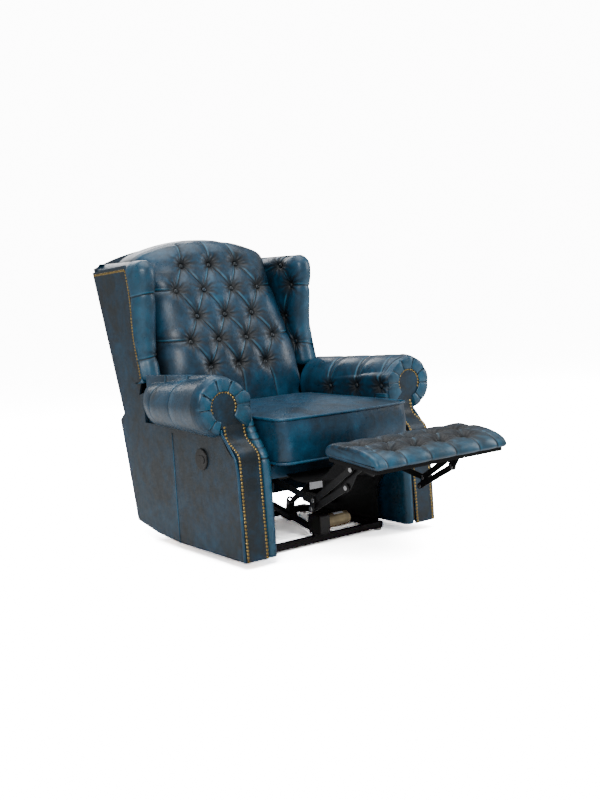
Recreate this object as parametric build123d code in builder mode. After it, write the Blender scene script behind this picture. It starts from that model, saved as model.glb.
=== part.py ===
"""Powered recliner armchair: tufted back, wings, scroll arms, box cushion and a folding footrest.

Millimetres, +Z up. The chair faces -Y and z = 0 is the floor. Every side outline is drawn in
(y, z), with y measured rearward from the arms' front faces, which stand at y = ARM_FACE.
Pieces are made for the sitter's right side (-X) and mirrored where both sides have one.
"""

import os
from math import atan2, cos, degrees, hypot, radians, sin, sqrt

from build123d import *

os.makedirs("parts", exist_ok=True)

# ---- driving sizes ------------------------------------------------------------------------------
ARM_FACE = -258.57  # y of the arms' front faces in the part's own frame
BODY_FOOT = 27.0  # gap under the upholstered body
SEAT_HALF = 272.0  # half the width between the arms
ARM_WIDTH = 128.0
ARM_DEPTH = 585.0  # front face to the rear end of the padded arm
ARM_LEDGE = 424.0  # height at which the roll sits on the arm's side
PANEL = 16.0  # outer side and rear panels
BOARD = 18.0  # plywood
ARM_PAD = 40.0  # padding on the arm's inner side
NEST = 4.0  # side gap where the back swings inside the arm panels
SOFT_GAP = 0.4  # clearance between soft pieces

ROLL_INSET = 12.0  # from the arm's outer face to the roll's centre line, front and rear
ROLL_REAR_INSET = 26.0
ROLL_Z = 508.0
ROLL_FRONT_R = 98.0
ROLL_REAR_R = 70.0
ROLL_REAR_Z = 490.0
KNEE = (18.0, 338.0)  # where the arm's front edge starts to step back
NECK = (93.0, 430.0)
HEAD_Y = 97.0  # how far the scroll head is set back
HEAD_R = 52.0
FACING_THICK = 8.0
FACING_MARGIN = 4.0  # from the facing to the arm's outer face
FRONT_ROLL = 41.0  # padded roll beside the facing, on the seat's side

REAR_FOOT = (696.0, 65.0)  # rear edge of the side panel
REAR_TOP = (778.0, 421.0)
REAR_PANEL_TOP = 336.0

CUSHION_LOW = 317.0
CUSHION_HIGH = 462.0
CUSHION_FRONT = -30.0
CUSHION_REAR = 540.0
CUSHION_SIDE_GAP = 2.0
DECK_THICK = 7.0
SPRING_WIRE = 3.5
SEAT_RAIL_LOW = 282.3
SEAT_RAIL_HIGH = 306.0
SEAT_RAIL_SET = 58.0  # inside the arms
SEAT_RAIL_WIDE = 20.0
SEAT_RAIL_FRONT = 120.0
SEAT_RAIL_REAR = 590.0
SPRINGS = 5

PIVOT = (600.0, 375.0)  # hinge between seat and back
BACK_FOOT = (751.0, 345.0)  # lower rear edge of the back
BACK_SHOULDER = (957.0, 949.0)  # rear top corner of the wings
BACK_GAP = 10.0  # back pad to arm
WING_SET = 24.0  # how far the wings stand outside the seat
PAD_GAP = 4.0  # back pad to wing
WING_PANEL = 8.0
CREST_MID = 1062.0
CREST_SIDE = 1000.0
OUTSIDE_THICK = 12.0
POST_THICK = 45.0
POST_DEEP = 36.0  # arm's rear post, front to rear
POST_WIDE = 40.0
RAIL_DEPTH = 24.0
PIVOT_PLATE = 4.0
PIVOT_EYE = 13.0
PIVOT_PIN = 6.0

BUTTON_PITCH = 120.0
BUTTON_R = 9.0
BUTTON_THICK = 7.0
POCKET_R = 12.0
POCKET_DEPTH = 26.0
BUTTON_ROWS = (
    (755.0, 963.0, 3),
    (700.0, 872.0, 4),
    (662.0, 778.0, 3),
    (618.0, 688.0, 4),
    (588.0, 592.0, 3),
)
BUTTON_LEAN = 24.0
WING_BUTTONS = ((722.0, 948.0), (660.0, 870.0), (706.0, 751.0), (650.0, 652.0))
WING_BUTTON_DEPTH = 14.0
ARM_BUTTONS = ((419.0, 490.0), (265.0, 498.0), (130.0, 502.0))
ARM_BUTTON_DEPTH = 12.0

LINK_THICK = 4.0
LINK_PITCH = 6.0  # from one link's plane to the next
LINK_HALF = 10.0
RIVET_R = 4.0
PIN_PLAY = 0.06
RIVET_BORE = RIVET_R + PIN_PLAY
RIVET_HEAD_R = 7.5
RIVET_HEAD = 1.4
RISER_SET = 34.0  # riser plates inside the arms
TUBE_R = 10.0
JOURNAL_R = 8.0

DRIVE_AXIS = (84.29, 260.0)
DRIVE_LINK = 219.4
DRIVE_START = 11.55  # degrees below straight forward with the footrest out
FRONT_LINK = 215.0
FRONT_START = -32.0
CONTROL_ARM = 30.0
CONTROL_ARM_TURN = 100.0
EAR = 67.83
EAR_START = 120.0
CONTROL_PLAY = 4.7
CRANK = 22.0
CRANK_START = 45.0
CRANK_PLATE = 4.0
PUSH_LINK = 220.0
PUSH_PLAY = 11.6
PUSH_EYE = 22.0

REST_GAP = 8.0  # footrest to arm, folded
REST_REAR = (-243.0, 404.0)  # rear top corner of the footrest, out
REST_LENGTH = 232.0
REST_PAD = 38.0
REST_BOARD = 12.0
REST_TILT = 5.0  # degrees, falling to the front
REST_INSET = 10.0
REST_BUTTON_DEPTH = 16.0
REST_BUTTON_ROWS = ((75.0, 5), (160.0, 4))
REST_BUTTON_PITCH = 98.0

RAIL_FRONT = 122.0
RAIL_REAR = 560.0
RAIL_SIDE_SET = 32.0  # floor side rails inside the arms
RAIL_BOX = 22.0
GLIDE = 8.0
GLIDE_R = 14.0
RISER_FRONT = 66.0
RISER_REAR = 520.0
RISER_HIGH = 278.0
BORDER_Y = 44.0
BORDER_LOW = 266.0
BORDER_HIGH = 307.0
BORDER_THICK = 12.0

ROLLER_R = 14.0
ROLLER_WIDE = 14.0
ROLLER_AXLE = 5.0
ROLLER_PLACES = (("front", 200.0), ("rear", 480.0))
ROLLER_GAP = 0.3

ACTUATOR_X = -41.0
ACTUATOR_TILT = 12.0
PIVOT_LINE = (130.0, 100.0)  # start of the carriage pivot's travel line
RAIL_DROP = 46.0
TRACK_LENGTH = 300.0
TRACK_WIDE = 24.0
TRACK_HIGH = 14.0
MOTOR_AT = (90.0, 79.0)
MOTOR_R = 24.0
MOTOR_LENGTH = 92.0
GEARBOX_WIDE = 40.0

NAIL_R = 4.6
NAIL_PROUD = 2.4
NAIL_PITCH = 11.2
NAIL_LIFT = 0.35

SWITCH_AT = (226.0, 332.0)
SWITCH_R = 35.0
SWITCH_THICK = 6.0
WELL = (46.0, 26.0)
WELL_DEPTH = 3.5
SWITCH_TRAVEL = 1.5
KEY_GAP = 0.35

# ---- worked-out sizes ---------------------------------------------------------------------------
ARM_OUT = SEAT_HALF + ARM_WIDTH
PANEL_IN = ARM_OUT - PANEL
ROLL_X = ARM_OUT - ROLL_INSET
ROLL_REAR_X = ARM_OUT - ROLL_REAR_INSET
FACING_IN = SEAT_HALF + FRONT_ROLL
FACING_OUT = ARM_OUT - FACING_MARGIN
BACK_HALF = SEAT_HALF - BACK_GAP
WING_IN = SEAT_HALF + WING_SET
PAD_HALF = WING_IN - PAD_GAP
SEAT_RAIL_X = SEAT_HALF - SEAT_RAIL_SET
POST_IN = SEAT_RAIL_X - 6
POST_OUT = POST_IN + POST_WIDE
RISER_LANE = SEAT_HALF - RISER_SET
DRIVE_LANE = RISER_LANE - 2 * LINK_THICK  # inner faces of the links, from the outer one inward
FRONT_LANE = DRIVE_LANE - LINK_PITCH
CONTROL_LANE = FRONT_LANE - LINK_PITCH
BRACKET_LANE = CONTROL_LANE - LINK_PITCH
REST_HALF = SEAT_HALF - REST_GAP
RAIL_SIDE_X = SEAT_HALF - RAIL_SIDE_SET
WING_OUT = PANEL_IN - NEST
WING_PAD_OUT = WING_OUT - WING_PANEL
BACK_SLOPE = (BACK_SHOULDER[0] - BACK_FOOT[0]) / (BACK_SHOULDER[1] - BACK_FOOT[1])
ROLLER_Z = SEAT_RAIL_LOW - ROLLER_GAP - ROLLER_R
DECK_LOW = CUSHION_LOW - SOFT_GAP - DECK_THICK
RAIL_TOP = GLIDE + RAIL_BOX


# ---- helpers ------------------------------------------------------------------------------------
def side(x):
    """The plane of a side outline at x: its own x runs rearward and its own y runs up."""
    return Plane(origin=(x, ARM_FACE, 0), x_dir=(0, 1, 0), z_dir=(1, 0, 0))


def level(z):
    """A level plane at height z whose y = 0 is at the arms' front faces."""
    return Plane(origin=(0, ARM_FACE, z), x_dir=(1, 0, 0), z_dir=(0, 0, 1))


def upright(y):
    """An upright plane facing forward at y: its own x runs with +X and its own y runs up."""
    return Plane(origin=(0, ARM_FACE + y, 0), x_dir=(1, 0, 0), z_dir=(0, -1, 0))


def save(piece, label):
    """Write one finished piece."""
    piece.label = label
    export_step(piece, f"parts/{label}.step")


def save_pair(piece, label):
    """Write a piece of the right side (-X) and its mirror image on the left."""
    save(piece, f"{label}_right")
    save(mirror(piece, about=Plane.YZ), f"{label}_left")


def group(pieces):
    """Separate solids that share one node."""
    return Compound(children=list(pieces))


def both(piece):
    """A piece of the right side together with its mirror image, as one group."""
    return group([piece, mirror(piece, about=Plane.YZ)])


def save_both(piece, label):
    """Write a piece of the right side and its mirror image as one group."""
    save(both(piece), label)


def slab(outline, x_from, x_to, round_corners=0):
    """A flat piece: a straight-sided side outline between two x."""
    with BuildPart() as piece:
        with BuildSketch(side(x_from)) as profile:
            with BuildLine():
                Polyline(*outline, close=True)
            make_face()
            if round_corners:
                fillet(profile.vertices(), round_corners)
        extrude(amount=x_to - x_from)
    return piece.part


def toward(start, length, angle):
    """The (y, z) point at a length from start, at an angle below straight forward."""
    turn = radians(angle)
    return (start[0] - length * cos(turn), start[1] - length * sin(turn))


def along(start, end, share):
    """The point a share of the way from start to end."""
    return tuple(a + (b - a) * share for a, b in zip(start, end))


def rear_line(z, inset=0.0):
    """y of the back's rear face at height z, moved forward by an inset."""
    return BACK_FOOT[0] + (z - BACK_FOOT[1]) * BACK_SLOPE - inset


def bar(start, end, x_from, holes, half=LINK_HALF, eye=None):
    """A flat link with round ends between two pivots; holes holds (place, radius) pairs."""
    turn = degrees(atan2(end[1] - start[1], end[0] - start[0]))
    span = hypot(end[0] - start[0], end[1] - start[1])
    with BuildPart() as piece:
        with BuildSketch(side(x_from)):
            with Locations(Location((*along(start, end, 0.5), 0), (0, 0, turn))):
                SlotCenterToCenter(span, 2 * half)
            if eye:
                with Locations(end):
                    Circle(eye)
            for place, radius in holes:
                with Locations(place):
                    Circle(radius, mode=Mode.SUBTRACT)
        extrude(amount=LINK_THICK)
    return piece.part


def rod(place, radius, x_from, x_to):
    """A round bar along X at a (y, z) place."""
    with BuildPart() as piece:
        with BuildSketch(side(x_from)):
            with Locations(place):
                Circle(radius)
        extrude(amount=x_to - x_from)
    return piece.part


def rivet(place, x_from, x_to):
    """A pivot rivet along X whose heads lie outside x_from and x_to."""
    with BuildPart() as piece:
        add(rod(place, RIVET_R, x_from, x_to))
        add(rod(place, RIVET_HEAD_R, x_from - RIVET_HEAD, x_from))
        add(rod(place, RIVET_HEAD_R, x_to, x_to + RIVET_HEAD))
        rims = piece.edges().filter_by(GeomType.CIRCLE).sort_by(Axis.X)
        chamfer([rims[0], rims[-1]], 0.8)
    return piece.part


def dome():
    """One nailhead, resting on its own XY plane."""
    ball = (NAIL_R**2 + NAIL_PROUD**2) / (2 * NAIL_PROUD)
    with BuildPart() as head:
        with BuildSketch(Plane.XZ):
            with BuildLine():
                Line((0, 0), (NAIL_R, 0))
                RadiusArc((NAIL_R, 0), (0, NAIL_PROUD), -ball)
                Line((0, NAIL_PROUD), (0, 0))
            make_face()
        revolve(axis=Axis.Z)
    return head.part


def spaced(curve, pitch=NAIL_PITCH):
    """Evenly spaced shares along a curve, at about the nail pitch."""
    count = max(2, round(curve.length / pitch))
    return [(i + 0.5) / count for i in range(count)]


def nails_on(curve, place, normal):
    """Nailheads along a flat curve; place and normal turn its points and tangents into 3-D."""
    head = dome()
    made = []
    for share in spaced(curve):
        at = curve @ share
        facing = normal(curve % share)
        seat = Plane(origin=Vector(*place(at)) + Vector(*facing) * NAIL_LIFT, z_dir=facing)
        made.append(head.moved(seat.location))
    return made


# ---- arms ---------------------------------------------------------------------------------------
def arm_edge():
    """The arm's front edge from the side: upright post, step back, foot of the scroll head."""
    with BuildLine() as edge:
        Line((4, BODY_FOOT), KNEE)
        Spline(KNEE, along(KNEE, NECK, 0.5), NECK, tangents=((0.05, 1), (0.05, 1)))
        Line(NECK, (HEAD_Y, ROLL_Z - 60))
    return edge.wire()


ARM_FRONT = [(12.5, BODY_FOOT), (26.5, KNEE[1]), (70, 372), (112, ARM_LEDGE)]


def arm_pieces():
    """Everything that one arm is made of, without its nailheads."""
    panel_tail = [(ARM_DEPTH + 5, ARM_LEDGE), (ARM_DEPTH + 5, 528), (668, 506), (728, 462), REAR_TOP]
    panel_foot = [REAR_FOOT, (552, 39), (407, BODY_FOOT)]
    save_pair(slab(ARM_FRONT + panel_tail + panel_foot, -ARM_OUT, -PANEL_IN), "arm_side_panel")

    board = [(ARM_DEPTH - 15, ARM_LEDGE), (ARM_DEPTH - 15, BODY_FOOT + 7), (13, BODY_FOOT + 7)]
    post_x = (-PANEL_IN + BOARD, -SEAT_HALF - ARM_PAD)
    front_post = [(13, BODY_FOOT + 7), ARM_FRONT[1], (56, 362), (56, BODY_FOOT + 7)]
    post_end = ARM_DEPTH - 19
    post_start = post_end - POST_DEEP
    rear_post = [
        (post_start, BODY_FOOT + 7),
        (post_start, ARM_LEDGE),
        (post_end, ARM_LEDGE),
        (post_end, BODY_FOOT + 7),
    ]
    frame = [slab(ARM_FRONT[1:] + board, -PANEL_IN, -PANEL_IN + BOARD)]
    frame += [slab(front_post, *post_x), slab(rear_post, *post_x)]
    save_both(group(frame), "arm_frames")

    pad = ARM_FRONT + [(ARM_DEPTH, ARM_LEDGE), (ARM_DEPTH, BODY_FOOT)]
    save_both(slab(pad, -SEAT_HALF - ARM_PAD, -SEAT_HALF), "arm_inner_pads")

    save_pair(arm_roll(), "arm_roll")
    save_both(arm_facing(), "arm_facings")


def cheek_outline(inner, outer, low, high):
    """Front outline of the cheek between two |x|, with its upper corner cut off."""
    return [(-inner, low), (-inner, high - 30), (-inner - 24, high), (-outer, high), (-outer, low)]


def arm_roll():
    """Tapering round bolster with the tufted cheek that joins it to the arm's inner side."""
    start = HEAD_Y + FACING_THICK + SOFT_GAP
    end = ARM_DEPTH - 12
    low = ARM_LEDGE + SOFT_GAP
    with BuildPart() as roll:
        with BuildSketch(upright(start)):
            with Locations((-ROLL_X, ROLL_Z)):
                Circle(ROLL_FRONT_R)
        with BuildSketch(upright(end)):
            with Locations((-ROLL_REAR_X, ROLL_REAR_Z)):
                Circle(ROLL_REAR_R)
        loft()
    with BuildPart() as cheek:
        with BuildSketch(upright(start)):
            with BuildLine():
                Polyline(*cheek_outline(SEAT_HALF + 4, ROLL_X, low, 556), close=True)
            make_face()
        with BuildSketch(upright(end)):
            with BuildLine():
                Polyline(*cheek_outline(SEAT_HALF + 10, ROLL_REAR_X, low, 526), close=True)
            make_face()
        loft()
    with BuildPart() as whole:
        add(roll.part)
        add(cheek.part)
        with BuildSketch(level(low)):
            with Locations((-ARM_OUT / 2, ARM_DEPTH / 2)):
                Rectangle(ARM_OUT + 2 * SOFT_GAP, 2 * ARM_DEPTH)
        extrude(amount=-2 * ROLL_FRONT_R, mode=Mode.SUBTRACT)
        for y, z in ARM_BUTTONS:
            with BuildSketch(side(-SEAT_HALF)):
                with Locations((y, z)):
                    Circle(POCKET_R)
            extrude(amount=-(ARM_BUTTON_DEPTH + 4 + BUTTON_THICK), mode=Mode.SUBTRACT)
    return whole.part


def arm_facing():
    """Front facing: a strip that follows the arm's edge and ends in the round scroll head."""
    edge = arm_edge()
    with BuildPart() as facing:
        with BuildSketch(side(-FACING_OUT)):
            with BuildLine():
                add(edge)
                add(edge.moved(Location((FACING_THICK, 0, 0))))
                Line(edge @ 0, (edge @ 0) + Vector(FACING_THICK, 0))
                Line(edge @ 1, (edge @ 1) + Vector(FACING_THICK, 0))
            make_face()
        extrude(amount=FACING_OUT - FACING_IN)
        with BuildSketch(upright(HEAD_Y + FACING_THICK)):
            with Locations((-ROLL_X, ROLL_Z)):
                Circle(HEAD_R)
            with BuildLine():
                Polyline(
                    (-FACING_IN, 436),
                    (-ROLL_X + HEAD_R, ROLL_Z),
                    (-ROLL_X - HEAD_R + 4, ROLL_Z),
                    (-ROLL_X - 24, 456),
                    (-FACING_OUT, 436),
                    close=True,
                )
            make_face()
        extrude(amount=FACING_THICK)
    return facing.part


def arm_nails():
    """Nailheads up both edges of the facing and round the scroll head."""
    edge = arm_edge()
    made = []
    for x in (-FACING_OUT + NAIL_R + 1, -FACING_IN - NAIL_R - 1):
        made += nails_on(
            edge,
            lambda at, x=x: (x, ARM_FACE + at.X, at.Y),
            lambda run: (0, -run.Y, run.X),
        )
    with BuildLine() as rim:
        CenterArc((-ROLL_X, ROLL_Z), HEAD_R - NAIL_R - 1, -28, 236)
    made += nails_on(rim.wire(), lambda at: (at.X, ARM_FACE + HEAD_Y, at.Y), lambda run: (0, -1, 0))
    return group(made)


def arm_buttons():
    """Covered buttons in the arm's tufted cheek."""
    x = -SEAT_HALF - 4 - ARM_BUTTON_DEPTH
    return group(rod(place, BUTTON_R, x - BUTTON_THICK, x) for place in ARM_BUTTONS)


arm_pieces()
save_both(arm_nails(), "arm_nails")
save_both(arm_buttons(), "arm_buttons")


# ---- fixed panels -------------------------------------------------------------------------------
def rear_panel_y(z):
    """y of the side panel's rear edge at height z."""
    share = (z - REAR_FOOT[1]) / (REAR_TOP[1] - REAR_FOOT[1])
    return along(REAR_FOOT, REAR_TOP, share)[0]


REAR_OUTLINE = [
    (REAR_FOOT[0] - PANEL, REAR_FOOT[1] + 2),
    (REAR_FOOT[0], REAR_FOOT[1] + 2),
    (rear_panel_y(REAR_PANEL_TOP), REAR_PANEL_TOP),
    (rear_panel_y(REAR_PANEL_TOP) - PANEL, REAR_PANEL_TOP),
]
save(slab(REAR_OUTLINE, -PANEL_IN, PANEL_IN), "rear_lower_panel")

BORDER_X = SEAT_HALF - SOFT_GAP
BORDER = [
    (BORDER_Y, BORDER_LOW),
    (BORDER_Y, BORDER_HIGH),
    (BORDER_Y + BORDER_THICK, BORDER_HIGH),
    (BORDER_Y + BORDER_THICK, BORDER_LOW),
]
save(slab(BORDER, -BORDER_X, BORDER_X), "front_border")

INLET_X, INLET_Z = 300.0, 120.0
INLET_LEAN = 13.0  # the rear panel leans, and the inlet with it

with BuildPart() as power_inlet:
    inlet_y = rear_panel_y(120) + 0.3
    lean = radians(INLET_LEAN)
    inlet_at = (-INLET_X, ARM_FACE + inlet_y, INLET_Z)
    inlet = Plane(origin=inlet_at, x_dir=(-1, 0, 0), z_dir=(0, cos(lean), -sin(lean)))
    with BuildSketch(inlet):
        RectangleRounded(34, 26, 5)
    extrude(amount=5)
    with BuildSketch(inlet.offset(5)):
        Circle(6)
    extrude(amount=-4, mode=Mode.SUBTRACT)
save(power_inlet.part, "power_inlet")


# ---- switch plate -------------------------------------------------------------------------------
def switch_plate():
    """Round plate on the right arm with an oval well for the two keys."""
    with BuildPart() as plate:
        with BuildSketch(side(-ARM_OUT)):
            with Locations(SWITCH_AT):
                Circle(SWITCH_R)
        extrude(amount=-SWITCH_THICK)
        fillet(plate.edges().filter_by(GeomType.CIRCLE).sort_by(Axis.X)[0], 2.5)
        with BuildSketch(side(-ARM_OUT - SWITCH_THICK)):
            with Locations(SWITCH_AT):
                SlotOverall(*WELL)
        extrude(amount=WELL_DEPTH, mode=Mode.SUBTRACT)
    return plate.part


def switch_key(way):
    """One half of the oval key pair; way is -1 for the front key and 1 for the rear one."""
    back = -ARM_OUT - SWITCH_THICK + WELL_DEPTH - SWITCH_TRAVEL - 0.3
    with BuildPart() as key:
        with BuildSketch(side(back)):
            with Locations(SWITCH_AT):
                SlotOverall(WELL[0] - 2 * KEY_GAP, WELL[1] - 2 * KEY_GAP)
            with Locations((SWITCH_AT[0] - way * WELL[0] / 2, SWITCH_AT[1])):
                Rectangle(WELL[0] + 2 * KEY_GAP, WELL[1], mode=Mode.SUBTRACT)
        extrude(amount=-WELL_DEPTH)
    return key.part


save(switch_plate(), "switch_plate")
save(switch_key(-1), "button_open")
save(switch_key(1), "button_close")


# ---- seat ---------------------------------------------------------------------------------------
def cross_rail(y, depth, half=SEAT_RAIL_X):
    """A wooden rail across the seat frame."""
    outline = [(y, SEAT_RAIL_LOW), (y, SEAT_RAIL_HIGH), (y + depth, SEAT_RAIL_HIGH), (y + depth, SEAT_RAIL_LOW)]
    return slab(outline, -half, half)


def seat_springs():
    """Flat zig-zag springs from the front rail to the rear rail."""
    wires = []
    reach = SEAT_RAIL_REAR - SEAT_RAIL_FRONT - 24
    waves = 14
    for number in range(SPRINGS):
        middle = (number - (SPRINGS - 1) / 2) * 82
        points = []
        for turn in range(waves + 1):
            points.append((middle + 18 * (-1) ** turn, SEAT_RAIL_FRONT + 12 + reach * turn / waves))
        with BuildPart() as wire:
            with BuildSketch(level(SEAT_RAIL_HIGH)):
                with BuildLine():
                    run = Polyline(*points)
                trace(run, SPRING_WIRE)
            extrude(amount=SPRING_WIRE)
        wires.append(wire.part)
    return group(wires)


def seat_hinge():
    """Steel plate on the seat's side rail that carries the back's hinge pin."""
    x = -SEAT_RAIL_X
    with BuildPart() as plate:
        with BuildSketch(side(x)):
            with BuildLine():
                Polyline(
                    (535, SEAT_RAIL_LOW + 1),
                    (554, SEAT_RAIL_HIGH - 2),
                    (584, 322),
                    (590, 371),
                    (612, 366),
                    (612, 318),
                    (589, SEAT_RAIL_LOW + 1),
                    close=True,
                )
            make_face()
            with Locations(PIVOT):
                Circle(PIVOT_EYE)
                Circle(PIVOT_PIN + PIN_PLAY, mode=Mode.SUBTRACT)
        extrude(amount=PIVOT_PLATE)
    return plate.part


SIDE_RAIL = [
    (SEAT_RAIL_FRONT, SEAT_RAIL_LOW),
    (SEAT_RAIL_FRONT, SEAT_RAIL_HIGH),
    (SEAT_RAIL_REAR, SEAT_RAIL_HIGH),
    (SEAT_RAIL_REAR, SEAT_RAIL_LOW),
]
seat_rails = [
    cross_rail(SEAT_RAIL_FRONT, 24, SEAT_RAIL_X),
    cross_rail(SEAT_RAIL_REAR - 24, 24, SEAT_RAIL_X - PIVOT_PLATE),
    both(slab(SIDE_RAIL, -SEAT_RAIL_X - SEAT_RAIL_WIDE, -SEAT_RAIL_X)),
]
save(group(seat_rails), "seat_rails")
save_both(seat_hinge(), "seat_hinge_plates")
save(seat_springs(), "seat_springs")

DECK_TOP = DECK_LOW + DECK_THICK
DECK_REAR = SEAT_RAIL_REAR - 40
DECK = [(60, DECK_LOW), (60, DECK_TOP), (DECK_REAR, DECK_TOP), (DECK_REAR, DECK_LOW)]
save(slab(DECK, -BACK_HALF, BACK_HALF), "seat_deck")

with BuildPart() as seat_cushion:
    with BuildSketch(level(CUSHION_LOW)):
        with Locations((0, (CUSHION_FRONT + CUSHION_REAR) / 2)):
            RectangleRounded(2 * (SEAT_HALF - CUSHION_SIDE_GAP), CUSHION_REAR - CUSHION_FRONT, 24)
    extrude(amount=CUSHION_HIGH - CUSHION_LOW)
    fillet(seat_cushion.faces().sort_by(Axis.Z)[-1].edges(), 14)
save(seat_cushion.part, "seat_cushion")


# ---- back ---------------------------------------------------------------------------------------
def back_board(low, high, x_from, x_to, inset, thick):
    """A board that lies along the back's rear face between two heights."""
    outline = [
        (rear_line(low, inset), low),
        (rear_line(high, inset), high),
        (rear_line(high, inset + thick), high),
        (rear_line(low, inset + thick), low),
    ]
    return slab(outline, x_from, x_to)


def crest_cutter(drop):
    """Everything above the arched crest, to be cut away."""
    end_z = CREST_SIDE - drop - 20
    with BuildPart() as cutter:
        with BuildSketch(upright(0)):
            with BuildLine():
                ThreePointArc((-WING_OUT, end_z), (0, CREST_MID - drop), (WING_OUT, end_z))
                Polyline((WING_OUT, end_z), (WING_OUT + 40, 1300), (-WING_OUT - 40, 1300), (-WING_OUT, end_z))
            make_face()
        extrude(amount=-1400)
    return cutter.part


def pocket_plane(place, x):
    """The plane of a back button's face, facing out of the pad."""
    lean = radians(BUTTON_LEAN)
    origin = (x, ARM_FACE + place[0], place[1])
    return Plane(origin=origin, x_dir=(1, 0, 0), z_dir=(0, -cos(lean), sin(lean)))


def back_button_planes():
    """One plane for each covered button of the back, row by row."""
    planes = []
    for y, z, count in BUTTON_ROWS:
        for number in range(count):
            planes.append(pocket_plane((y, z), (number - (count - 1) / 2) * BUTTON_PITCH))
    return planes


def back_pad():
    """Tufted pad: narrow between the arms, wider between the wings, arched at the crest."""
    behind = OUTSIDE_THICK + POST_THICK + SOFT_GAP
    top_rear = [(rear_line(z, OUTSIDE_THICK + SOFT_GAP), z) for z in (1046, 992)]
    rear_high = (rear_line(992, behind), 992)
    rear_low = (rear_line(470, behind), 470)
    front_side = ((558, 345), (560, 480), (566, 592), (598, 690), (642, 780), (680, 872), (734, 965))
    with BuildPart() as pad:
        for half, start in ((BACK_HALF, 0), (PAD_HALF, 2)):
            points = front_side[start:]
            with BuildSketch(side(-half)):
                with BuildLine():
                    Polyline(*points)
                    RadiusArc(points[-1], (815, 1062), 110)
                    Polyline((815, 1062), (900, 1062), *top_rear, rear_high, rear_low)
                    if start:
                        Polyline(rear_low, (rear_low[0], 592), points[0])
                    else:
                        Polyline(rear_low, (584, 405), (584, 345), points[0])
                make_face()
            extrude(amount=2 * half)
        add(crest_cutter(0), mode=Mode.SUBTRACT)
        for plane in back_button_planes():
            with BuildSketch(plane.offset(-BUTTON_THICK)):
                Circle(POCKET_R)
            extrude(amount=BUTTON_THICK + POCKET_DEPTH + 30, mode=Mode.SUBTRACT)
    return pad.part


def back_buttons():
    """Covered buttons at the bottom of the back's pockets."""
    made = []
    for plane in back_button_planes():
        with BuildPart() as button:
            with BuildSketch(plane.offset(-BUTTON_THICK)):
                Circle(BUTTON_R)
            extrude(amount=BUTTON_THICK)
        made.append(button.part)
    return group(made)


WING_FRONT = ((604, 566), (626, 700), (616, 800), (598, 925), (612, 972))
NAIL_LINE = ((634, 572), (649, 636), (670, 731), (675, 850), (684, 901), (698, 955))


def wing_pad():
    """Padded wing between the back pad and the outer panel."""
    inset = OUTSIDE_THICK + 26
    low = (rear_line(505, inset), 505)
    high = (rear_line(972, inset), 972)
    with BuildPart() as pad:
        with BuildSketch(side(-WING_PAD_OUT)):
            with BuildLine():
                Spline(*WING_FRONT)
                Polyline(WING_FRONT[-1], (628, 980), high, low, (660, 556), WING_FRONT[0])
            make_face()
        extrude(amount=WING_PAD_OUT - WING_IN)
        for y, z in WING_BUTTONS:
            with BuildSketch(side(-WING_IN)):
                with Locations((y, z)):
                    Circle(POCKET_R)
            extrude(amount=-(WING_BUTTON_DEPTH + BUTTON_THICK), mode=Mode.SUBTRACT)
    return pad.part


def wing_panel():
    """Flat outer panel of a wing."""
    with BuildPart() as panel:
        with BuildSketch(side(-WING_OUT)):
            with BuildLine():
                Spline(*NAIL_LINE)
                Polyline(
                    NAIL_LINE[-1],
                    (706, 972),
                    (rear_line(956), 956),
                    BACK_FOOT,
                    (690, 420),
                    (668, 500),
                    NAIL_LINE[0],
                )
            make_face()
        extrude(amount=WING_PANEL)
    return panel.part


def wing_nails():
    """Nailheads up the wing panel's front edge and back along its top."""
    with BuildLine() as line:
        Spline(*NAIL_LINE)
        Line(NAIL_LINE[-1], (rear_line(945, 12), 945))
    shift = Location((NAIL_R + 2, 0, 0))
    return group(
        nails_on(
            line.wire().moved(shift),
            lambda at: (-WING_OUT, ARM_FACE + at.X, at.Y),
            lambda run: (-1, 0, 0),
        )
    )


def wing_buttons():
    """Covered buttons in the wing's inner face."""
    x = -WING_IN - WING_BUTTON_DEPTH
    return group(rod(place, BUTTON_R, x - BUTTON_THICK, x) for place in WING_BUTTONS)


def outside_back():
    """Flat outside back, arched at the top."""
    with BuildPart() as board:
        add(back_board(BACK_FOOT[1], 1080, -WING_PAD_OUT, WING_PAD_OUT, 0, OUTSIDE_THICK))
        add(crest_cutter(14), mode=Mode.SUBTRACT)
    return board.part


def back_hinge_bracket():
    """Steel bracket that hangs a back post on its hinge pin."""
    top = 470
    x = -POST_IN
    with BuildPart() as bracket:
        with BuildSketch(side(x)):
            with BuildLine():
                upper = (rear_line(top, 57), top)
                Polyline((590, 384), upper, (rear_line(top, 20), top), (612, 364), close=True)
            make_face()
            with Locations(PIVOT):
                Circle(PIVOT_EYE)
                Circle(PIVOT_PIN, mode=Mode.SUBTRACT)
        extrude(amount=PIVOT_PLATE)
    return bracket.part


POST_LOW = 420
save_both(back_board(POST_LOW, 985, -POST_OUT, -POST_IN, OUTSIDE_THICK, POST_THICK), "back_posts")
low_half = POST_IN - PIVOT_PLATE
back_rails = [back_board(440, 466, -low_half, low_half, OUTSIDE_THICK, RAIL_DEPTH)]
back_rails += [back_board(z, z + 50, -POST_IN, POST_IN, OUTSIDE_THICK, RAIL_DEPTH) for z in (700, 930)]
save(group(back_rails), "back_rails")
wing_rails = [back_board(z, z + 45, -WING_PAD_OUT, -POST_OUT, OUTSIDE_THICK, RAIL_DEPTH) for z in (600, 880)]
save_both(group(wing_rails), "wing_rails")
hinge_pin = rod(PIVOT, PIVOT_PIN, -SEAT_RAIL_X - 2, -POST_IN + PIVOT_PLATE + 2)
save_both(group([back_hinge_bracket(), hinge_pin]), "back_hinge_brackets")
save(back_pad(), "back_pad")
save(group([back_buttons(), both(wing_buttons())]), "back_buttons")
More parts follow.
